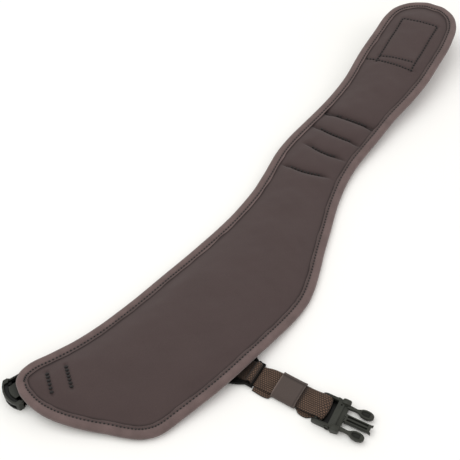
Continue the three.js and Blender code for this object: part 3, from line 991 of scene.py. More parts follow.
@dataclass
class Pad:
    """The foam body between two layers of jersey."""

    wing: Wing
    rim_inset: float = 3.4
    rim_half: float = 2.4
    top: float = 5.2
    under: float = 3.8
    fullness: float = 0.9
    columns: int = 42
    step: float = 3.6
    fine_step: float = 0.9
    most_swell: float = 1.4

    def rows(self) -> Array:
        """Space the rows of points along the wing, close together at its furrows.

        Returns:
            Places along the wing, counted in rows of the table.
        """
        samples, near, far = 4000, 2, 9
        dense = np.linspace(0, self.wing.last, samples)
        left, right = self.wing.line(dense)
        length = run_lengths((left + right) / 2)
        furrows = np.nonzero(WING_ROWS[:, FURROW])[0]
        marks = np.interp(furrows, dense, length)
        distance = np.min(np.abs(length[:, None] - marks), axis=1)
        wanted = self.fine_step + (self.step - self.fine_step) * smooth(distance, near, far)
        count = np.concatenate([[0], np.cumsum(np.diff(length) / wanted[1:])])
        return np.interp(np.linspace(0, count[-1], int(count[-1]) + 1), count, dense)

    def spread(self) -> Array:
        """Shares across the wing, closer together at both edges."""
        even = np.linspace(-1, 1, self.columns)
        return 0.5 + 0.5 * (0.75 * even + 0.25 * np.sin(even * math.pi / 2))

    def layout(self) -> tuple[Array, Array]:
        """Lay out the points of one face.

        Returns:
            Plan X and plan Y, one row for each line across the wing.
        """
        left, right = self.wing.line(self.rows())
        span = right[:, :2] - left[:, :2]
        width = np.hypot(span[:, 0], span[:, 1])
        inset = np.minimum(self.rim_inset / width, 0.3)[:, None]
        share = inset + self.spread()[None, :] * (1 - 2 * inset)
        return left[:, 0:1] + span[:, 0:1] * share, left[:, 1:2] + span[:, 1:2] * share

    def build(self) -> Object:
        """Make the foam body, let it swell between its seams, and draw the seams in.

        Returns:
            The finished pad.
        """
        x, y = self.layout()
        rows, columns = x.shape
        x, y = x.ravel(), y.ravel()
        edge = self.wing.edge_distance(x, y)
        middle = self.wing.height(x, y)
        inside = smooth(edge, 12, 25)
        top = middle + self.rim_half + (self.top - self.rim_half) * inside * self.fullness
        low = middle - self.rim_half - (self.under - self.rim_half) * inside * self.fullness
        points = np.vstack([np.column_stack([x, y, top]), np.column_stack([x, y, low])])
        obj = MeshMaker.build("pad_body", to_part(points), self.faces(rows, columns), FINISHES.pad)
        self.swell(obj, np.concatenate([edge, edge]))
        MeshMaker.refine(obj)
        self.draw_in(obj)
        return wear(obj, FINISHES.pad, "pad")

    def faces(self, rows: int, columns: int) -> list[tuple[int, ...]]:
        """Join the points into a top, an underside and the wall between them.

        Args:
            rows: Lines of points across the wing.
            columns: Points in each line.

        Returns:
            The quads, facing outwards.
        """
        below = rows * columns
        grid = np.arange(below).reshape(rows, columns).tolist()
        faces = []
        for i in range(rows - 1):
            for j in range(columns - 1):
                quad = (grid[i][j], grid[i][j + 1], grid[i + 1][j + 1], grid[i + 1][j])
                faces.append(quad)
                faces.append(tuple(v + below for v in reversed(quad)))
            for j, turn in ((0, 1), (columns - 1, -1)):
                a, b = grid[i][j], grid[i + 1][j]
                faces.append((a, b, b + below, a + below)[::turn])
        for j in range(columns - 1):
            for i, turn in ((0, 1), (rows - 1, -1)):
                a, b = grid[i][j + 1], grid[i][j]
                faces.append((a, b, b + below, a + below)[::turn])
        return faces

    def swell(self, obj: Object, edge: Array) -> None:
        """Inflate the foam a little as cloth, held at its rim and along its seams.

        Args:
            obj: The plain foam body.
            edge: Distance of each vertex from the outline.
        """
        frames, seam_dark, least = 20, 0.25, 0.02
        start = MeshMaker.coordinates(obj)
        x, y = to_plan(start).T
        held = 1 - smooth(edge, 9, 15)
        for seam in SEAMS:
            held = np.maximum(held, seam.pull(x, y)[1] > seam_dark)
        group = obj.vertex_groups.new(name="held")
        for index in np.nonzero(held > least)[0]:
            group.add([int(index)], float(held[index]), "REPLACE")
        cloth = obj.modifiers.new("swell", "CLOTH")
        cloth.settings.vertex_group_mass = "held"
        cloth.settings.quality = 4
        cloth.settings.mass = 0.4
        cloth.settings.tension_stiffness = 12
        cloth.settings.compression_stiffness = 12
        cloth.settings.bending_stiffness = 1.5
        cloth.settings.use_pressure = True
        cloth.settings.uniform_pressure_force = 4
        cloth.settings.effector_weights.gravity = 0
        cloth.point_cache.frame_start = 1
        cloth.point_cache.frame_end = frames
        scene = bpy.context.scene
        for frame in range(1, frames + 1):
            scene.frame_set(frame)
        MeshMaker.apply(obj, "swell")
        scene.frame_set(1)
        shift = MeshMaker.coordinates(obj) - start
        size = np.linalg.norm(shift, axis=1, keepdims=True)
        limit = self.most_swell * MM
        shift *= limit * np.tanh(size / limit) / np.maximum(size, 1e-9)
        log.info("the foam swells by up to %.1f mm", float(np.linalg.norm(shift, axis=1).max() / MM))
        MeshMaker.move(obj, start + shift)

    def relief(self, x: Array, y: Array, edge: Array) -> tuple[Array, Array]:
        """Take all seams together, shallower towards the bound edge.

        Args:
            x: Plan X of the points.
            y: Plan Y of the points.
            edge: Distance of the points from the outline.

        Returns:
            How far each point is drawn in, and how much painted shade darkens it.
        """
        pulls = [seam.pull(x, y) for seam in SEAMS]
        depth = np.max([pull for pull, _ in pulls], axis=0)
        dark = np.max([shade for _, shade in pulls], axis=0)
        at_edge = 0.35
        return depth * (at_edge + (1 - at_edge) * smooth(edge, 6, 13)), dark

    def draw_in(self, obj: Object) -> None:
        """Draw seams and small folds into the refined foam; paint shade in furrows and by the tape.

        Args:
            obj: The refined foam body.
        """
        points = MeshMaker.coordinates(obj)
        x, y = to_plan(points).T
        above = points[:, 2] / MM > self.wing.height(x, y)
        edge = self.wing.edge_distance(x, y)
        depth, dark = self.relief(x, y, edge)
        long_folds = 0.35 * waves(x, y, seed=3, length=46)
        short_folds = 0.12 * waves(x, y, seed=8, length=17)
        folds = (long_folds + short_folds) * smooth(edge, 12, 22)
        under_share = 0.4
        points[:, 2] += np.where(above, folds - depth, depth * under_share) * MM
        MeshMaker.move(obj, points)
        # Painted shadow on the foam just inside the tape, and painted shade in the seam furrows.
        tape_shadow = 0.6 * bump(edge - 10.6, 1.1)
        MeshMaker.attribute(obj.data, "shade", np.clip(np.maximum(dark, tape_shadow), 0, 0.9))


@dataclass
class EdgeTape:
    """The tape rolled round the wing's edge and sewn through it.

    Args:
        wing: The wing's shape.
        step: Distance between the sections of the sweep.
        crest: Distance of the roll's highest line from the outline.
        groove: Distance of the stitched groove.
        flap: Distance at which the flap beyond the groove stands up again.
        lip: Distance of the flap's lip, which carries a painted highlight.
        section: Upper half of the folded section: rows of (distance inwards, height).
    """

    wing: Wing
    step: float = 3.0
    crest: float = 3.6
    groove: float = 7.7
    flap: float = 8.3
    lip: float = 9.7
    section: tuple[tuple[float, float], ...] = (
        (0.0, 0.0), (0.2, 1.5), (1.0, 2.9), (2.5, 3.75), (4.2, 3.95), (5.8, 3.75), (7.0, 3.3),
        (7.7, 2.9), (8.3, 3.05), (9.3, 3.25), (10.2, 3.2), (10.5, 2.95), (10.3, 2.7),
        (7.7, 2.66), (3.1, 2.66),
    )

    def stations(self) -> tuple[Array, Array, Array]:
        """Space the sections evenly round the outline.

        Returns:
            Outline points, inward directions, and lengths along the outline.
        """
        samples, overlap = 6000, 3
        ring = self.wing.outline
        closed = np.vstack([ring[-overlap:], ring, ring[:overlap]])
        dense = spline(closed, np.linspace(overlap, len(ring) + overlap, samples))
        length = run_lengths(dense[:, :2])
        at = np.linspace(0, length[-1], int(length[-1] / self.step), endpoint=False)
        points = read_at(at, length, dense)
        run = np.roll(points, -2, 0) - np.roll(points, 2, 0)
        return points, unit_rows(np.column_stack([run[:, 1], -run[:, 0]])), at

    def skin(self, section: Array) -> Array:
        """Sweep the section round the outline, with small uneven puckers.

        Args:
            section: The whole folded section.

        Returns:
            Plan points in millimetres, one ring after another.
        """
        points, inward, at = self.stations()
        inset = np.tile(section[:, 0], (len(points), 1))
        rise = np.tile(section[:, 1], (len(points), 1))
        slow = waves(at, at * 0, seed=5, length=21)[:, None]
        fast = waves(at, at * 0, seed=11, length=6.5)[:, None]
        roll = smooth(8.2 - np.abs(inset - self.crest), 3.5, 8.2)
        rise += np.sign(rise) * roll * (0.16 * slow + 0.12 * fast)
        inset += smooth(inset, 8, 10.3) * (0.35 * slow + 0.2 * fast)
        x = points[:, 0:1] + inward[:, 0:1] * inset
        y = points[:, 1:2] + inward[:, 1:2] * inset
        middle = self.wing.height(x.ravel(), y.ravel())
        return np.column_stack([x.ravel(), y.ravel(), middle + rise.ravel()])

    def build(self) -> Object:
        """Make the tape: painted shade in groove and flap, a painted highlight on the left lip.

        Returns:
            The finished tape.
        """
        upper = np.array(self.section)
        section = np.vstack([upper, upper[1:][::-1] * [1, -1]])
        at = self.stations()[2]
        count = len(at)
        faces = [tuple(reversed(f)) for f in ring_faces(count, len(section), True)]
        # Painted shade in the stitched groove and on the flap, taken back where the lip is lit.
        groove = 0.45 * bump(section[:, 0] - self.groove, 0.6)
        flap = 0.5 * smooth(section[:, 0], self.groove, self.flap)
        lip = bump(section[:, 0] - self.lip, 0.45)
        share = np.arange(count) / count
        left = smooth(share, 0.06, 0.2) * (1 - smooth(share, 0.42, 0.5))
        shade = np.maximum(groove, flap) * (1 - np.outer(left, lip))
        obj = MeshMaker.build("edge_tape", to_part(self.skin(section)), faces, FINISHES.tape,
                              self.pattern(faces, section, at), shade.ravel())
        # Painted highlight on the lip: strong along the left edge, faint elsewhere.
        lit = (0.05 + 0.8 * left) * (1 + 0.4 * waves(at, at * 0, seed=29, length=30))
        MeshMaker.attribute(obj.data, "wear_and_highlight", np.outer(lit, lip).ravel())
        MeshMaker.refine(obj)
        return wear(obj, FINISHES.tape, "edge_binding")

    def pattern(self, faces: list[tuple[int, ...]], section: Array, at: Array) -> Array:
        """Measure the tape in millimetres along it and round its section.

        Args:
            faces: The quads of its skin.
            section: Its section.
            at: Length along the outline at each section.

        Returns:
            Pattern coordinates for each corner of each face.
        """
        size = len(section)
        whole_length = at[-1] + self.step
        girth = run_lengths(section)
        whole_girth = girth[-1] + 1
        uv = []
        for face in faces:
            rings = [v // size for v in face]
            spots = [v % size for v in face]
            last_ring = max(rings) - min(rings) > 1
            last_spot = max(spots) - min(spots) > 1
            for i, j in zip(rings, spots):
                along = whole_length if last_ring and i == 0 else at[i]
                around = whole_girth if last_spot and j == 0 else girth[j]
                uv.append((along, around))
        return np.array(uv)


@dataclass(frozen=True)
class StitchSize:
    """One kind of stitch."""

    length: float
    radius: float
    pitch: float


# Thick stitches in near-black thread, so that they also give the painted shade of their holes.
EDGE_STITCH = StitchSize(1.9, 0.8, 3.5)
SEAM_STITCH = StitchSize(1.9, 1.0, 3.6)
TACK_STITCH = StitchSize(3.8, 1.3, 3.4)


class Stitches:
    """Rows of short thread stitches, all from one small template."""

    sides = 6
    # Rings of a stitch: place along it, share of its radius, and lift in radii.
    profile = (
        (-0.5, 0.15, -0.9), (-0.42, 0.8, -0.2), (-0.15, 1, 0.25),
        (0.15, 1, 0.25), (0.42, 0.8, -0.2), (0.5, 0.15, -0.9),
    )

    def __init__(self) -> None:
        """Start with no stitches."""
        self.places: list[Array] = []
        self.faces: list[tuple[int, ...]] = []

    def add(self, centre: Array, direction: Array, size: StitchSize) -> None:
        """Add one stitch.

        Args:
            centre: Middle of the stitch in plan millimetres.
            direction: Unit vector along it.
            size: Its kind.
        """
        side = np.cross(direction, [0, 0, 1.0])
        side /= np.linalg.norm(side)
        up = np.cross(side, direction)
        points = []
        for along, girth, lift in self.profile:
            for k in range(self.sides):
                angle = 2 * math.pi * k / self.sides
                spread = side * math.cos(angle) * size.radius * girth
                rise = up * (math.sin(angle) * size.radius * girth + lift * size.radius)
                points.append(centre + direction * along * size.length + spread + rise)
        base = len(self.places) * len(points)
        last = len(self.profile) - 1
        for i in range(last):
            for j in range(self.sides):
                k = (j + 1) % self.sides
                here, there = base + i * self.sides, base + (i + 1) * self.sides
                self.faces.append((here + j, here + k, there + k, there + j))
        self.faces.append(tuple(base + j for j in reversed(range(self.sides))))
        self.faces.append(tuple(base + last * self.sides + j for j in range(self.sides)))
        self.places.append(np.array(points))

    def build(self, name: str, finish: Finish) -> Object:
        """Make all stitches one piece."""
        return wear(MeshMaker.build(name, to_part(np.vstack(self.places)), self.faces, finish), finish)


@dataclass
class Tailor:
    """Sews the wing: the groove of the edge tape and the seams through the foam."""

    wing: Wing
    tape: EdgeTape
    edge_inset: float = 7.75
    edge_height: float = 3.1

    def sew_edge(self) -> Object:
        """Stitch the tape along its groove, on both faces.

        Returns:
            The finished stitches.
        """
        points, inward, at = self.tape.stations()
        places = np.arange(0, at[-1], EDGE_STITCH.pitch)
        turn = read_at(places, at, inward)
        spots = read_at(places, at, points[:, :2]) + turn * self.edge_inset
        line = np.column_stack([spots, self.wing.height(spots[:, 0], spots[:, 1])])
        run = unit_rows(np.roll(line, -1, 0) - np.roll(line, 1, 0))
        rows = Stitches()
        for face in (1, -1):
            for spot, direction in zip(line, run):
                rows.add(spot + [0, 0, face * self.edge_height], direction * face, EDGE_STITCH)
        return rows.build("edge_stitches", FINISHES.thread)

    def sew_seams(self, pad: Object) -> Object:
        """Lay the stitches of each seam on the finished foam, on both faces.

        Args:
            pad: The finished pad.

        Returns:
            The finished stitches.
        """
        reach = 1.3
        points = MeshMaker.coordinates(pad)
        plan = to_plan(points)
        height = points[:, 2] / MM
        above = height > self.wing.height(plan[:, 0], plan[:, 1])
        rows = Stitches()
        for seam in SEAMS:
            start, axis, length = seam.run()
            aside = np.array([axis[1], -axis[0]])
            way = np.array([*(-aside if seam.across else axis), 0.0])
            size = TACK_STITCH if seam.across else SEAM_STITCH
            lift = 0.3 + 0.25 * seam.kind.depth
            count = max(2, round(length / size.pitch))
            for share in (np.arange(count) + 0.5) / count:
                spot = start + axis * length * share + aside * seam.sag(share)
                near = np.hypot(*(plan - spot).T) < reach
                for face, layer in ((1, near & above), (-1, near & ~above)):
                    if layer.any():
                        rows.add(np.array([*spot, height[layer].mean() + face * lift]), way, size)
        return rows.build("seam_stitches", FINISHES.thread)


@dataclass
class Station:
    """A place in the plan from which a strap is laid out along its own direction."""

    x: float
    y: float
    degrees: float

    def to_plan(self, along: Array, across: Array) -> Array:
        """Plan points of places on the strap.

        Args:
            along: Places along the strap.
            across: Places across it.

        Returns:
            Plan X and Y, one row per place.
        """
        angle = math.radians(self.degrees)
        c, s = math.cos(angle), math.sin(angle)
        return np.column_stack([self.x + along * c - across * s, self.y + along * s + across * c])


@dataclass
class Band:
    """A length of webbing along a route.

    Args:
        name: Name of the piece.
        station: Where its route starts and how it points.
        route: Rows of (along, height, shift across), for the middle of its thickness.
        width: Full width at places along the strap.
        thickness: Thickness of one layer.
        step: Distance between the sections of the sweep.
        columns: Points across each face.
        hem: Length at the end of the route that is folded double.
        full_from: Place along the strap beyond which the middle of the webbing bulges.
        fullness: How far it bulges there.
        shadows: Deep shade: rows of (place along, reach, strength).
    """

    name: str
    station: Station
    route: Sequence[Triple]
    width: Callable[[Array], Array]
    thickness: float = 1.4
    step: float = 1.1
    columns: int = 14
    hem: float = 0.0
    full_from: float = 0.0
    fullness: float = 0.0
    shadows: tuple[Triple, ...] = ()

    def middle_line(self) -> tuple[Array, Array]:
        """Space the sections evenly along the route.

        Returns:
            Points of the route, and the length of webbing up to each.
        """
        samples, fewest = 2400, 8
        route = np.array(self.route, float)
        dense = spline(route, np.linspace(0, len(route) - 1, samples))
        run = run_lengths(dense[:, :2])
        log.info("%s is %.0f mm long", self.name, run[-1])
        at = np.linspace(0, run[-1], max(fewest, int(run[-1] / self.step)))
        return read_at(at, run, dense), at

    def half_thickness(self, at: Array) -> Array:
        """Half the thickness along the webbing: doubled in the hem, rounded at its end.

        Args:
            at: Lengths of webbing.

        Returns:
            One value per length.
        """
        left = at[-1] - at
        doubled = 1 + (0.5 * smooth(-left, -self.hem - 1, -self.hem + 1) if self.hem else 0)
        return self.thickness / 2 * doubled * np.sqrt(np.clip((left + 0.3) / 0.9, 0.1, 1))

    def section(self) -> Array:
        """Round the edges of the webbing a little.

        Returns:
            Rows of (share of the half width, share of the half thickness), right round it.
        """
        shares = np.linspace(-1, 1, self.columns)
        face = np.column_stack([shares * 0.984, 1 - 0.35 * np.abs(shares) ** 8])
        return np.vstack([[-1, 0], face, [1, 0], face[::-1] * [1, -1]])

    def build(self, *nodes: str) -> Object:
        """Sweep the webbing's section along its route.

        Args:
            nodes: The CAD nodes that it stands for.

        Returns:
            The finished webbing.
        """
        line, at = self.middle_line()
        section = self.section()
        count, size = len(at), len(section)
        run = unit_rows(np.gradient(line[:, :2], axis=0))
        normal = np.column_stack([-run[:, 1], run[:, 0]]) * self.half_thickness(at)[:, None]
        half = self.width(line[:, 0]) / 2
        share, lift = section.T
        across = line[:, 2:] + share * half[:, None]
        along = line[:, 0:1] + normal[:, 0:1] * lift
        height = line[:, 1:2] + normal[:, 1:2] * lift
        bulge = self.fullness * (1 - share ** 2) * smooth(along, self.full_from, self.full_from + 5)
        along = (along + bulge).ravel()
        points = np.column_stack([self.station.to_plan(along, across.ravel()), height.ravel()])
        faces = ring_faces(count, size, False)
        faces.append(tuple(range(size)))
        faces.append(tuple(range(count * size - 1, (count - 1) * size - 1, -1)))
        uv = [(at[v // size], share[v % size] * half.mean()) for face in faces for v in face]
        shade = np.zeros(len(points))
        for place, reach, strength in self.shadows:
            shade = np.maximum(shade, strength * bump(along - place, reach))
        obj = MeshMaker.build(self.name, to_part(points), faces, FINISHES.webbing, np.array(uv), shade)
        MeshMaker.turn_outwards(obj)
        return wear(obj, FINISHES.webbing, *nodes)


def round_bar(along: float, height: float, radius: float, start: float, end: float,
              steps: int = 8) -> list[tuple[float, float]]:
    """Take a band round a bar.

    Args:
        along: Place of the bar along the strap.
        height: Height of its middle.
        radius: Distance of the webbing's middle from it.
        start: Angle at which the turn starts, in degrees in the plane of the route.
        end: Angle at which it ends.
        steps: Number of steps between them.

    Returns:
        Rows of (along, height).
    """
    turn = [math.radians(start + (end - start) * i / steps) for i in range(steps + 1)]
    return [(along + radius * math.cos(a), height + radius * math.sin(a)) for a in turn]


@dataclass
class SewnLoop:
    """A folded loop of webbing, sewn flat under the wing and open round one bar.

    Args:
        name: Name of the piece.
        node: The CAD node that it stands for.
        wing: The wing's shape.
        station: The strap that it belongs to.
        width: Full width of the webbing.
        upper: Where the upper layer runs from and to.
        turn: The turn round the bar, as round_bar takes it.
        lower: Where the lower layer runs from and to.
        shift: Place across at a place along.
    """

    name: str
    node: str
    wing: Wing
    station: Station
    width: float
    upper: tuple[float, float]
    turn: tuple[float, float, float, float, float]
    lower: tuple[float, float]
    shift: Callable[[float], float]

    def under(self, along: float, layer: int) -> tuple[float, float]:
        """Lay a point of the loop against the wing's underside.

        Args:
            along: Place along the strap.
            layer: 0 next to the wing, 1 below.

        Returns:
            The same place, and its height.
        """
        foam, gap, layer_step = 3.9, 1.0, 1.7
        spot = self.station.to_plan(np.array([along]), np.array([self.shift(along)]))
        middle = float(self.wing.height(spot[:, 0], spot[:, 1])[0])
        return along, middle - foam - gap - layer * layer_step

    def build(self) -> None:
        """Make the loop from its two layers and its turn."""
        first = [self.under(along, 0) for along in np.linspace(*self.upper, 6)]
        back = [self.under(along, 1) for along in np.linspace(*self.lower, 5)]
        route = [(a, height, self.shift(a)) for a, height in (*first, *round_bar(*self.turn), *back)]
        Band(self.name, self.station, route, lambda along: np.full_like(along, self.width)).build(
            self.node)


@dataclass
class Sleeve:
    """The cloth sleeve that keeps the side webbing's two layers together."""

    station: Station
    start: float = 187.2
    end: float = 210.4
    half: float = 13.2
    height: float = 6.4
    rings: int = 40
    sides: int = 56
    cloth: float = 0.9

    def skin(self) -> Array:
        """Lay out flattened rings with raised lips and a top that sags between them.

        Returns:
            Rows of (along, across, height), one ring after another.
        """
        flat_sides, flat_top, floor_gap = 0.34, 0.5, 0.02
        last = self.rings - 1
        points = []
        for i in range(self.rings):
            along = self.start + (self.end - self.start) * i / last
            lip = 0.22 * (bump(i / 2, 1) + bump((last - i) / 2, 1))
            droop = 0.25 * math.sin(math.pi * i / last)
            for j in range(self.sides):
                angle = 2 * math.pi * j / self.sides
                c, s = math.cos(angle), math.sin(angle)
                across = self.half * math.copysign(abs(c) ** flat_sides, c) + lip * c
                height = self.height / 2 * (1 + math.copysign(abs(s) ** flat_top, s))
                height += lip * max(s, 0) - droop * (s > 0)
                points.append((along + 0.25 * math.sin(3 * angle), across, max(floor_gap, height)))
        return np.array(points)

    def build(self) -> None:
        """Make the sleeve: a dark line by its far end, painted fold shade, pale wear at both ends."""
        skin = self.skin()
        along, across, height = skin.T
        points = np.column_stack([self.station.to_plan(along, across), height])
        end_line = 0.5 * bump(along - self.end + 1.6, 0.5)
        # Painted shade along the fold of the sleeve's far side.
        fold_shade = 0.75 * bump(across - 9.8, 0.8) * (height > 3)
        faces = ring_faces(self.rings, self.sides, False)
        shade = np.maximum(end_line, fold_shade)
        obj = MeshMaker.build("keeper_sleeve", to_part(points), faces, FINISHES.keeper, None, shade)
        wear_and_highlight = 0.7 * bump(along - self.start - 0.2, 0.5) + 0.35 * bump(along - self.end, 0.4)
        MeshMaker.attribute(obj.data, "wear_and_highlight", wear_and_highlight * (height > 1))
        MeshMaker.turn_outwards(obj)
        MeshMaker.modify(obj, "SOLIDIFY", thickness=self.cloth * MM, offset=-1)
        wear(obj, FINISHES.keeper, "keeper")


@dataclass
class SideStrap:
    """The strap that leaves the wing's straight edge: sewn loop, webbing and sleeve."""

    wing: Wing
    angle: float = -78.9
    middle: float = 128.0
    webbing: float = 23.6
    pulled: float = -1.2
    top: float = 3.7
    low: float = 2.0

    def station(self) -> Station:
        """Start of the side strap."""
        angle = math.radians(self.angle)
        return Station(-self.middle * math.sin(angle), self.middle * math.cos(angle), self.angle)

    def route(self) -> list[Triple]:
        """Follow the webbing from under the slider over its bars, to the buckle and back.

        Returns:
            Rows of (along, height, shift across).
        """
        over_slider = (
            (168.4, 1), (151, 1), (148.4, 1.35), (148.3, 2.2), (151, 2.6), (158.2, 2.9), (161, 4.1),
            (162.3, 6), (163.8, 6.9), (165.2, 6.3), (166.1, 4.6), (167.6, 2.6), (171, 2.5),
        )
        through_sleeve = ((176, 3.1, -0.5), (185.2, self.top, 0), (212.4, self.top, 0))
        round_buckle = (
            (223.4, self.top + 1.2, 0), (229, 6.6, 0), (232.6, 6.75, 0), (235, 5.8, 0), (235.9, 4, 0),
            (234.6, 2.2, 0), (231.5, 1.3, 0), (228.2, 1.3, -0.2), (223.2, 1, -3.4), (215.4, 1, -3),
        )
        back = ((211.2, self.low, 0), (188.4, self.low, -0.5), (186.2, 1.1, -3.9), (170, 1.1, -5.2))
        start = ((along, height, self.pulled) for along, height in over_slider)
        return [*start, *through_sleeve, *round_buckle, *back]

    def width_at(self, along: Array) -> Array:
        """Width of the webbing, which is drawn together in the slider."""
        return self.webbing - 2 * (1 - smooth(along, 166, 181.2))

    def build(self) -> None:
        """Make the webbing, the wider loop under the wing, and the sleeve."""
        station = self.station()
        shadows = (
            (146, 6, 0.85), (155, 5, 0.85), (160.2, 2, 0.75), (167.2, 1.3, 0.85), (211.6, 1.6, 0.8),
        )
        strap = Band("side_strap", station, self.route(), self.width_at, hem=14, full_from=231,
                     fullness=1.7, shadows=shadows)
        loop = SewnLoop("side_loop", "side_anchor_webbing", self.wing, station, width=35.0,
                        upper=(96, 129), turn=(141, 3.9, 2.8, 95, -110), lower=(123, 104),
                        shift=lambda along: -1.5)
        strap.build("side_webbing")
        loop.build()
        Sleeve(station).build()


@dataclass
class TipLoop:
    """The folded loop under the pointed end, which holds the receiving buckle half."""

    wing: Wing
    station: Station = field(default_factory=lambda: Station(-9.6, 5, -4))
    width: float = 23.6

    def shift(self, along: float) -> float:
        """Place across, which keeps the sewn layers clear of the wing's edge."""
        return -0.42 * max(0.0, along - 31.2)

    def build(self) -> None:
        """Make the loop."""
        loop = SewnLoop("tip_loop", "tip_webbing", self.wing, self.station, self.width, upper=(66, 37),
                        turn=(29.4, 4.6, 2.8, 75, 290), lower=(40, 60), shift=self.shift)
        loop.build()


FaceTest = Callable[[Vector, Vector], bool]


class Bench:
    """Where hard parts are shaped one by one, in millimetres along, across and above their strap."""

    smooth_below = math.radians(38)

    def block(self, low: Triple, high: Triple) -> Object:
        """Add a box between two corners.

        Args:
            low: Its lowest corner.
            high: Its highest corner.

        Returns:
            The box.
        """
        middle = [(a + b) / 2 * MM for a, b in zip(low, high)]
        bpy.ops.object.select_all(action="DESELECT")
        bpy.ops.mesh.primitive_cube_add(size=1, location=middle)
        bpy.ops.transform.resize(value=[(b - a) * MM for a, b in zip(low, high)], center_override=middle)
        return self.settled()

    def rod(self, middle: Triple, radius: float, half: float, upright: bool = False,
            sides: int = 28) -> Object:
        """Add a round bar.

        Args:
            middle: Its middle.
            radius: Its radius.
            half: Half its length.
            upright: Whether it stands, and doesn't lie across the strap.
            sides: Number of its sides.

        Returns:
            The bar.
        """
        bpy.ops.object.select_all(action="DESELECT")
        bpy.ops.mesh.primitive_cylinder_add(
            vertices=sides, radius=radius * MM, depth=2 * half * MM, location=[c * MM for c in middle],
            rotation=(0 if upright else math.pi / 2, 0, 0))
        return self.settled()

    def settled(self) -> Object:
        """Apply the place and size of the new primitive."""
        bpy.ops.object.transform_apply(location=True, rotation=True, scale=True)
        return bpy.context.view_layer.objects.active

    @contextmanager
    def editing(self, obj: Object) -> Iterator[None]:
        """Keep one object in edit mode, with nothing selected at first.

        Args:
            obj: The object.

        Yields:
            Nothing, while the object can be shaped.
        """
        select_only(obj)
        bpy.ops.object.mode_set(mode="EDIT")
        bpy.ops.mesh.select_mode(type="FACE")
        bpy.ops.mesh.select_all(action="DESELECT")
        yield
        bpy.ops.object.mode_set(mode="OBJECT")

    def pick(self, obj: Object, test: FaceTest) -> None:
        """Select the faces that pass a test.

        Args:
            obj: The object that is edited.
            test: Told a face's middle, in millimetres, and its normal.
        """
        bpy.ops.mesh.select_all(action="DESELECT")
        work = bmesh.from_edit_mesh(obj.data)
        for face in work.faces:
            if test(face.calc_center_median() / MM, face.normal):
                face.select_set(True)
        bmesh.update_edit_mesh(obj.data)

    def slice_along(self, *places: float) -> None:
        """Run an edge loop round the part at each of some places along the strap."""
        for along in places:
            bpy.ops.mesh.select_all(action="SELECT")
            bpy.ops.mesh.bisect(plane_co=(along * MM, 0, 0), plane_no=(1, 0, 0))

    def slice_across(self, *places: float) -> None:
        """Run an edge loop round the part at each of some places across the strap."""
        for across in places:
            bpy.ops.mesh.select_all(action="SELECT")
            bpy.ops.mesh.bisect(plane_co=(0, across * MM, 0), plane_no=(0, 1, 0))

    def extrude(self, along: float = 0.0, across: float = 0.0, up: float = 0.0) -> None:
        """Extrude the selected faces."""
        move = {"value": (along * MM, across * MM, up * MM)}
        bpy.ops.mesh.extrude_region_move(TRANSFORM_OT_translate=move)

    def push(self, along: float) -> None:
        """Move the selected faces along the strap."""
        bpy.ops.transform.translate(value=(along * MM, 0, 0))

    def inset(self, width: float) -> None:
        """Inset the selected faces as one."""
        bpy.ops.mesh.inset(thickness=width * MM, depth=0)

    def resize(self, factors: Triple, middle: Triple) -> None:
        """Scale the selection about a point."""
        bpy.ops.transform.resize(value=factors, center_override=[c * MM for c in middle])

    def cut(self, obj: Object, tool: Object) -> None:
        """Cut one part with another, which is used up."""
        MeshMaker.modify(obj, "BOOLEAN", operation="DIFFERENCE", object=tool)
        bpy.data.objects.remove(tool)

    def round_off(self, obj: Object, width: float, segments: int = 3, angle: float = 32) -> None:
        """Round all sharp edges.

        Args:
            obj: The part.
            width: How far the rounding reaches.
            segments: Number of its steps.
            angle: Least angle of an edge that counts as sharp, in degrees.
        """
        MeshMaker.modify(obj, "BEVEL", width=width * MM, segments=segments, limit_method="ANGLE",
                         angle_limit=math.radians(angle))

    def mirrored(self, obj: Object) -> Object:
        """Copy a side part to the other side of the strap's middle."""
        MeshMaker.modify(obj, "MIRROR", use_axis=(False, True, False), use_mirror_merge=False)
        return obj

    def join(self, name: str, *parts: Object) -> Object:
        """Make one object of several.

        Args:
            name: Its name.
            parts: The objects.

        Returns:
            The joined object.
        """
        select_only(*parts)
        bpy.ops.object.join()
        parts[0].name = name
        return parts[0]

    def place(self, obj: Object, station: Station, shift: float = 0.0, yaw: float = 0.0,
              pivot: float = 0.0) -> None:
        """Turn a finished object about a point of its strap, and set it on its station.

        Args:
            obj: The object, still in strap coordinates.
            station: The strap that it belongs to.
            shift: How far it sits across.
            yaw: Its own turn, in degrees.
            pivot: The place along the strap that the turn goes round.
        """
        to_pivot = Matrix.Translation((-pivot * MM, 0, 0))
        from_pivot = Matrix.Translation((pivot * MM, shift * MM, 0))
        turn = from_pivot @ Matrix.Rotation(math.radians(yaw), 4, "Z") @ to_pivot
        start = to_part(np.array([[station.x, station.y, 0.0]]))[0]
        ground = Matrix.Translation(start) @ Matrix.Rotation(math.radians(station.degrees), 4, "Z")
        select_only(obj)
        obj.matrix_world = ground @ turn
        bpy.ops.object.transform_apply(location=True, rotation=True, scale=True)
        bpy.ops.object.shade_smooth_by_angle(angle=self.smooth_below)

    def dress(self, obj: Object, finish: Finish, dark: Callable[[Array], Array]) -> None:
        """Give a part its finish, and paint shade on it by place.

        Args:
            obj: The part, still in strap coordinates.
            finish: Its finish.
            dark: Turns points in millimetres into shares of painted shade.
        """
        obj.data.materials.clear()
        obj.data.materials.append(finish.material())
        MeshMaker.attribute(obj.data, "shade", dark(MeshMaker.coordinates(obj) / MM))


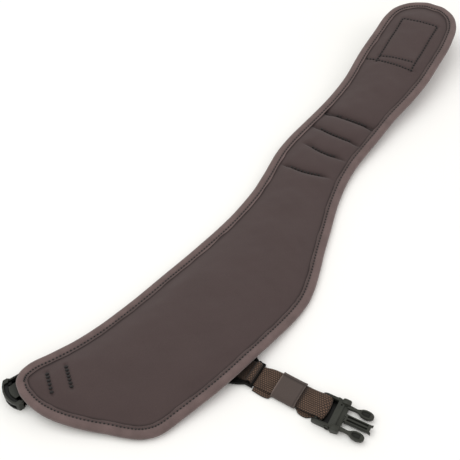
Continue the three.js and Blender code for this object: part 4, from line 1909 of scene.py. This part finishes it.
@dataclass
class ProngedHalf:
    """The buckle half with two sprung prongs, on the side strap.

    Its bar holds the webbing, its crossbar closes the webbing's slot, and each row of its paddle is
    (along, width), from a prong's root to its tip.
    """

    bench: Bench
    station: Station
    bar: float = 231.4
    yaw: float = 3.4
    side: float = -1.2
    outer: float = 16.0
    slot: float = 13.2
    slot_end: float = 242.6
    body_end: float = 252.8
    boss: tuple[float, float] = (242.4, 3.9)
    prong_middle: float = 11.1
    prong_height: float = 4.7
    paddle: tuple[tuple[float, float], ...] = (
        (257, 2.7), (260.2, 2.5), (262.4, 3.8), (264.4, 6.4), (266.6, 7.7), (269, 8.0), (271.4, 7.5),
        (273.5, 6.1), (274.9, 4.0), (275.5, 2.2),
    )

    def build(self) -> None:
        """Make the frame with its grips, prongs and guide, and the bar across it."""
        bench = self.bench
        frame = bench.join("buckle_pronged", self.body(), self.sides(), self.guide(), self.floor())
        bench.dress(frame, FINISHES.buckle, self.painted_shade)
        bench.place(frame, self.station, self.side, self.yaw, self.bar)
        rod = bench.rod((self.bar, 0, 3.7), radius=1.7, half=13.4)
        bench.round_off(rod, 0.3, 2)
        bench.dress(rod, FINISHES.buckle, lambda points: np.zeros(len(points)))
        bench.place(rod, self.station, self.side)
        wear(bench.join("buckle_pronged", frame, rod), FINISHES.buckle, "buckle_male")

    def painted_shade(self, points: Array) -> Array:
        """Paint shade on what lies deep: the webbing's slot, and the sunk fields, rings and grooves.

        Args:
            points: Places in millimetres on the strap.

        Returns:
            A share of painted shade for each point.
        """
        along, across, up = points[:, 0], np.abs(points[:, 1]), points[:, 2]
        inner = across < self.slot + 0.1
        slot = inner & (along < 244) & (up < 2.4)
        wall = inner & (along < self.slot_end + 0.15)
        ring = between(across, 14.5, 15.4) & (np.hypot(along - self.boss[0], up - self.boss[1]) < 2.4)
        sunk = (along > 248.4) & (across < 10.4) & between(up, 4.8, 5.6)
        grooves = (along > 255) & (across < 2.75) & between(up, 3.5, 5.4)
        on_paddle = (along > 262) & (across > 6) & (np.abs(across - self.prong_middle) < 2.6)
        dishes = on_paddle & between(up, 4.7, 5.6)
        return np.select([slot, wall, sunk | ring | grooves | dishes], [0.95, 0.88, 0.65], 0.0)

    def body(self) -> Object:
        """Shape the crossbar that ends the slot, with a sunk field between the grips.

        Returns:
            The crossbar.
        """
        bench = self.bench
        shoulder, neck, height = 244.4, 14.5, 7
        body = bench.block((self.slot_end, -self.outer, 0), (self.body_end, self.outer, height))
        with bench.editing(body):
            bench.slice_along(shoulder, 246.9)
            bench.pick(body, lambda c, n: c.x < shoulder + 0.01)
            bench.resize((1, neck / self.outer, 1), (243.5, 0, height / 2))
            bench.pick(body, lambda c, n: n.x > 0.9)
            bench.resize((1, 0.93, 0.9), (self.body_end, 0, 3.2))
        bench.cut(body, bench.block((248.4, -10.6, 5.2), (258, 10.6, 9)))
        bench.cut(body, bench.rod((246.1, 9.4, height), radius=0.85, half=2.2, upright=True, sides=16))
        bench.round_off(body, 0.45)
        return body

    def floor(self) -> Object:
        """Shape the low ramp in the slot, a sheet that painted shade turns near black.

        Returns:
            The ramp.
        """
        start = 230.5
        ramp = self.bench.block((start, -self.slot, 0), (243.6, self.slot, 0.5))
        with self.bench.editing(ramp):
            self.bench.pick(ramp, lambda c, n: n.x < -0.9)
            self.bench.resize((1, 1, 0.6), (start, 0, 0))
        return ramp

    def arm(self) -> Object:
        """Shape one arm, lower and thinner at its free end.

        Returns:
            The arm.
        """
        bench = self.bench
        start = 227.6
        arm = bench.block((start, 12.2, 0), (244.2, 14.8, 7.4))
        with bench.editing(arm):
            bench.slice_along(231)
            bench.pick(arm, lambda c, n: n.x < -0.9)
            bench.resize((1, 0.85, 0.72), (start, 13.3, 2.2))
        bench.round_off(arm, 0.6)
        return arm

    def round_boss(self) -> Object:
        """Shape one round boss with a sunk face.

        Returns:
            The boss.
        """
        bench = self.bench
        boss = bench.rod((self.boss[0], 14.3, self.boss[1]), radius=2.7, half=1.4)
        with bench.editing(boss):
            bench.pick(boss, lambda c, n: n.y > 0.9)
            bench.inset(0.8)
            bench.extrude(across=-0.7)
        bench.round_off(boss, 0.25, 2)
        return boss

    def grip(self) -> Object:
        """Shape one raised grip with sloping ends.

        Returns:
            The grip.
        """
        bench = self.bench
        grip = bench.block((245.4, 11.2, 3), (253.2, 16.2, 8.8))
        with bench.editing(grip):
            bench.slice_along(247.4, 251.8)
            bench.pick(grip, lambda c, n: n.x < -0.9 or n.x > 0.9)
            bench.resize((1, 0.93, 0.86), (250, 13, 3.2))
        bench.round_off(grip, 0.6, 3, 30)
        return grip

    def sides(self) -> Object:
        """Arm, boss, grip and prong of one side, then the same on the other."""
        parts = (self.arm(), self.round_boss(), self.grip(), self.prong())
        return self.bench.mirrored(self.bench.join("sides", *parts))

    def prong(self) -> Object:
        """Extrude one sprung prong from its root to its tip, and dish its paddle on both faces.

        Returns:
            The prong.
        """
        bench, middle, height = self.bench, self.prong_middle, self.prong_height
        root, along, width, half_height = 251, 254.6, 3.2, 1.8
        paddle_middle, rim = 269, 1.5
        prong = bench.block((root, middle - width / 2, height - half_height),
                            (along, middle + width / 2, height + half_height))
        with bench.editing(prong):
            bench.pick(prong, lambda c, n: n.x > 0.9)
            for place, wide in self.paddle:
                bench.extrude(along=place - along)
                bench.resize((1, wide / width, 1), (place, middle, height))
                along, width = place, wide
            bench.pick(prong, lambda c, n: n.z > 0.9 and 263 < c.x < 273.8)
            bench.resize((1, 1, 1.1), (paddle_middle, middle, height))
            bench.inset(rim)
            bench.extrude(up=-1.5)
            bench.resize((0.94, 0.86, 1), (paddle_middle, middle, height))
            bench.pick(prong, lambda c, n: n.z < -0.9 and 263 < c.x < 273.8)
            bench.inset(rim)
            bench.extrude(up=1.2)
        bench.round_off(prong, 0.45, 3, 28)
        return prong

    def guide(self) -> Object:
        """Shape the straight tongue between the prongs, with two long grooves and a forked end.

        Returns:
            The tongue.
        """
        bench = self.bench
        half, end = 3.6, 276.6
        groove_start, groove_end, groove_inner, groove_outer = 255.4, 274.2, 0.75, 2.6
        guide = bench.block((253.4, -half, 2.4), (end, half, 6.9))
        with bench.editing(guide):
            bench.slice_across(-groove_outer, -groove_inner, groove_inner, groove_outer)
            bench.slice_along(groove_start, groove_end)
            for side in (1, -1):
                bench.pick(guide, lambda c, n: n.z > 0.9 and groove_start < c.x < groove_end
                           and groove_inner < c.y * side < groove_outer)
                bench.extrude(up=-2.3)
            bench.pick(guide, lambda c, n: n.x > 0.9 and abs(c.y) > groove_outer and c.x > end - 0.6)
            bench.extrude(along=1.5)
            bench.resize((1, 1.3, 0.75), (278, 0, 4.4))
        bench.round_off(guide, 0.28, 2)
        return guide


@dataclass
class Slider:
    """The three-bar slider, whose flare has rows of (along, inner side, outer side) of one arm."""

    bench: Bench
    station: Station
    side: float = -1.5
    flare: tuple[Triple, ...] = (
        (161.8, 11.4, 13.0), (156, 12, 16.5), (146.6, 12.3, 20.7), (145.4, 19, 21.3),
        (139.4, 21.9, 23.9),
    )

    def build(self) -> None:
        """Make the arms and the three bars."""
        bench = self.bench
        arms = bench.mirrored(self.arm())
        wide = bench.rod((141, 0, 3.9), radius=1.8, half=22.6)
        centre = bench.rod((163.6, 0, 4.2), radius=1.3, half=13)
        outer = bench.block((167.7, -12.6, 3.5), (168.9, 12.6, 5))
        bench.round_off(outer, 0.45)
        slider = bench.join("strap_slider_frame", arms, wide, centre, outer)
        # Painted shade on the whole slider, deeper on the wide bar under the wing's edge.
        bench.dress(slider, FINISHES.slider, lambda points: np.where(points[:, 0] < 150, 0.8, 0.6))
        bench.place(slider, self.station, shift=self.side)
        wear(slider, FINISHES.slider, "strap_slider")

    def arm(self) -> Object:
        """Extrude one flared arm back from the outer bar, and sink its broad web a little.

        Returns:
            The arm.
        """
        bench = self.bench
        start, low, high = self.flare[0]
        arm = bench.block((start, low, 1.6), (169, high, 4.5))
        with bench.editing(arm):
            bench.pick(arm, lambda c, n: n.x < -0.9)
            for (along, low, high), (place, inner, edge) in zip(self.flare, self.flare[1:]):
                middle = (inner + edge) / 2
                bench.extrude(along=place - along, across=middle - (low + high) / 2)
                bench.resize((1, (edge - inner) / (high - low), 1), (place, middle, 3.9))
            bench.pick(arm, lambda c, n: n.z > 0.9 and 147 < c.x < 160)
            bench.inset(1.1)
            bench.extrude(up=-0.7)
        bench.round_off(arm, 0.45)
        return arm


@dataclass
class ReceivingHalf:
    """The hollow buckle half that peeks out under the pointed end.

    Its mouth_curve has rows of (distance from the middle, push), and its waist rows of (place along,
    share of the width).
    """

    bench: Bench
    station: Station
    yaw: float = -8.0
    side: float = -1.1
    length: float = 24.0
    outer: float = 16.0
    height: float = 10.8
    narrowing: float = 0.91
    mouth_curve: tuple[tuple[float, float], ...] = ((5, 0.27), (10, 0.83), (13.5, 1))
    waist: tuple[tuple[float, float], ...] = ((11.9, 0.88), (17.9, 0.98))
    socket: float = 12.2
    socket_low: float = 2.0
    socket_high: float = 6.8

    def build(self) -> None:
        """Make the hooded body and the frame with the loop's bar."""
        bench = self.bench
        rod = bench.rod((29.4, 0, 4.6), radius=1.8, half=13)
        frame = bench.join("buckle_frame", bench.mirrored(self.tail()), rod)
        # Painted shade on the frame, which lies under the wing.
        bench.dress(frame, FINISHES.buckle, lambda points: np.full(len(points), 0.6))
        bench.place(frame, self.station)
        body = self.body()
        bench.dress(body, FINISHES.buckle, self.painted_shade)
        bench.place(body, self.station, shift=self.side, yaw=self.yaw, pivot=22)
        wear(bench.join("buckle_receiving", body, frame), FINISHES.buckle, "buckle_female")

    def painted_shade(self, points: Array) -> Array:
        """Paint shade in the socket and the slot round the raised field, and under the wing.

        Args:
            points: Places in millimetres on the strap.

        Returns:
            A share of painted shade for each point.
        """
        along, across, up = points[:, 0], np.abs(points[:, 1]), points[:, 2]
        inside = between(along, 1.5, 22) & (across < 12.6) & between(up, 1.9, 8.9)
        slit = (across < 13.4) & between(up, 7.6, 8.8)
        # Painted shadow, deeper towards the tail that lies under the wing.
        shadow_under_wing = 0.1 + 0.8 * smooth(along, 9, 15)
        return np.where(inside | slit, 0.95, shadow_under_wing)

    def shape_sides(self, body: Object) -> None:
        """Curve the mouth, slope the sides' front ends, and draw the waist in.

        Args:
            body: The body in edit mode.
        """
        bench = self.bench
        for beyond, push in self.mouth_curve:
            for facing, behind in ((-0.6, 20), (2, 7.5)):
                bench.pick(body, lambda c, n: n.x < facing and c.x < behind and abs(c.y) > beyond)
                bench.push(push)
        bench.pick(body, lambda c, n: abs(n.y) > 0.9 and c.x < 9)
        bench.push(1.8)
        for start, share in self.waist:
            bench.pick(body, lambda c, n: c.x > start)
            bench.resize((1, share, 1), (20, 0, 5))
        bench.pick(body, lambda c, n: True)
        bench.resize((1, self.narrowing, 1), (0, 0, 0))
        bench.pick(body, lambda c, n: n.x > 0.9)
        bench.resize((1, 1, 0.72), (self.length, 0, 0))

    def body(self) -> Object:
        """Shape the body: a curved mouth, a waist, a socket, side windows and a rimmed top.

        Returns:
            The body.
        """
        bench = self.bench
        body = bench.block((0, -self.outer, 0), (self.length, self.outer, self.height))
        with bench.editing(body):
            bench.slice_across(-13.5, -10, -5, 0, 5, 10, 13.5)
            bench.slice_along(6, 12, 18, 22)
            self.shape_sides(body)
            bench.pick(body, lambda c, n: n.z > 0.9 and abs(c.y) < 13.4 and c.x < 21)
            bench.inset(1.6)
            bench.extrude(up=-2.8)
            bench.inset(3.2)
            bench.extrude(up=1.9)
            bench.resize((0.9, 0.9, 1), (12, 0, 9))
        low, high = self.socket_low, self.socket_high
        bench.cut(body, bench.block((-2, -self.socket, low), (20, self.socket, high)))
        for window_low, window_high in ((9, 18), (-18, -9)):
            bench.cut(body, bench.block((10, window_low, low), (17.5, window_high, high)))
        bench.round_off(body, 0.7)
        return body

    def tail(self) -> Object:
        """Shape one arm of the frame that holds the loop's bar.

        Returns:
            The arm.
        """
        tail = self.bench.block((22, 12, 0), (32, 13.8, 7.4))
        self.bench.round_off(tail, 0.6)
        return tail


@dataclass(frozen=True)
class Lamp:
    """One square soft light aimed at the strap."""

    name: str
    place: Triple
    size: float
    power: float
    color: Color

    def light(self) -> None:
        """Switch the light on."""
        data = bpy.data.lights.new(self.name, "AREA")
        data.size = self.size
        data.energy = self.power
        data.color = self.color
        obj = bpy.data.objects.new(self.name, data)
        bpy.context.scene.collection.objects.link(obj)
        obj.location = self.place
        obj.rotation_euler = (-Vector(self.place)).to_track_quat("-Z", "Y").to_euler()


@dataclass
class Studio:
    """Camera, light and the white surface."""

    position: Triple = (-0.4850, -0.2991, 0.752)
    look: Triple = (0.452, 0.407, -0.793)
    lens: float = 74.35
    key: Lamp = Lamp("key", (-0.5, 0.6, 2.2), 2.3, 28, (0.96, 0.98, 0.97))
    fill: Lamp = Lamp("fill", (1.4, -1.5, 1.1), 1.2, 7, (1.0, 0.86, 0.93))
    surround: Color = (1.0, 0.985, 0.955)
    surround_strength: float = 0.74
    floor_half: float = 6.0
    floor_drop: float = 0.00015

    def build(self) -> None:
        """Set up the scene round the strap."""
        self.camera()
        self.floor()
        self.key.light()
        self.fill.light()
        self.surround_light()

    def camera(self) -> None:
        """Set the camera at the photograph's place."""
        data = bpy.data.cameras.new("camera")
        data.lens = self.lens
        data.sensor_width = 36
        data.sensor_fit = "HORIZONTAL"
        data.clip_end = 20
        obj = bpy.data.objects.new("camera", data)
        bpy.context.scene.collection.objects.link(obj)
        obj.location = self.position
        obj.rotation_euler = Vector(self.look).to_track_quat("-Z", "Y").to_euler()
        bpy.context.scene.camera = obj

    def floor(self) -> None:
        """Lay a wide white surface."""
        half, low = self.floor_half, -self.floor_drop
        corners = [(-half, -half, low), (half, -half, low), (half, half, low), (-half, half, low)]
        MeshMaker.build("floor", np.array(corners), [(0, 1, 2, 3)], FINISHES.floor)

    def surround_light(self) -> None:
        """Light the scene evenly from all round."""
        world = bpy.data.worlds.new("surround")
        world.use_nodes = True
        background = world.node_tree.nodes["Background"]
        background.inputs["Color"].default_value = (*self.surround, 1)
        background.inputs["Strength"].default_value = self.surround_strength
        bpy.context.scene.world = world
        bpy.context.scene.view_settings.view_transform = "Standard"


def main() -> None:
    """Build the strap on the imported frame, piece by piece."""
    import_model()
    wing = Wing()
    Studio().build()
    pad = Pad(wing).build()
    tape = EdgeTape(wing)
    tape.build()
    tailor = Tailor(wing, tape)
    tailor.sew_edge()
    tailor.sew_seams(pad)
    side = SideStrap(wing)
    side.build()
    tip = TipLoop(wing)
    tip.build()
    bench = Bench()
    Slider(bench, side.station()).build()
    ProngedHalf(bench, side.station()).build()
    ReceivingHalf(bench, tip.station).build()


if __name__ == "__main__":
    logging.basicConfig(level=logging.INFO, format="%(name)s: %(message)s")
    main()
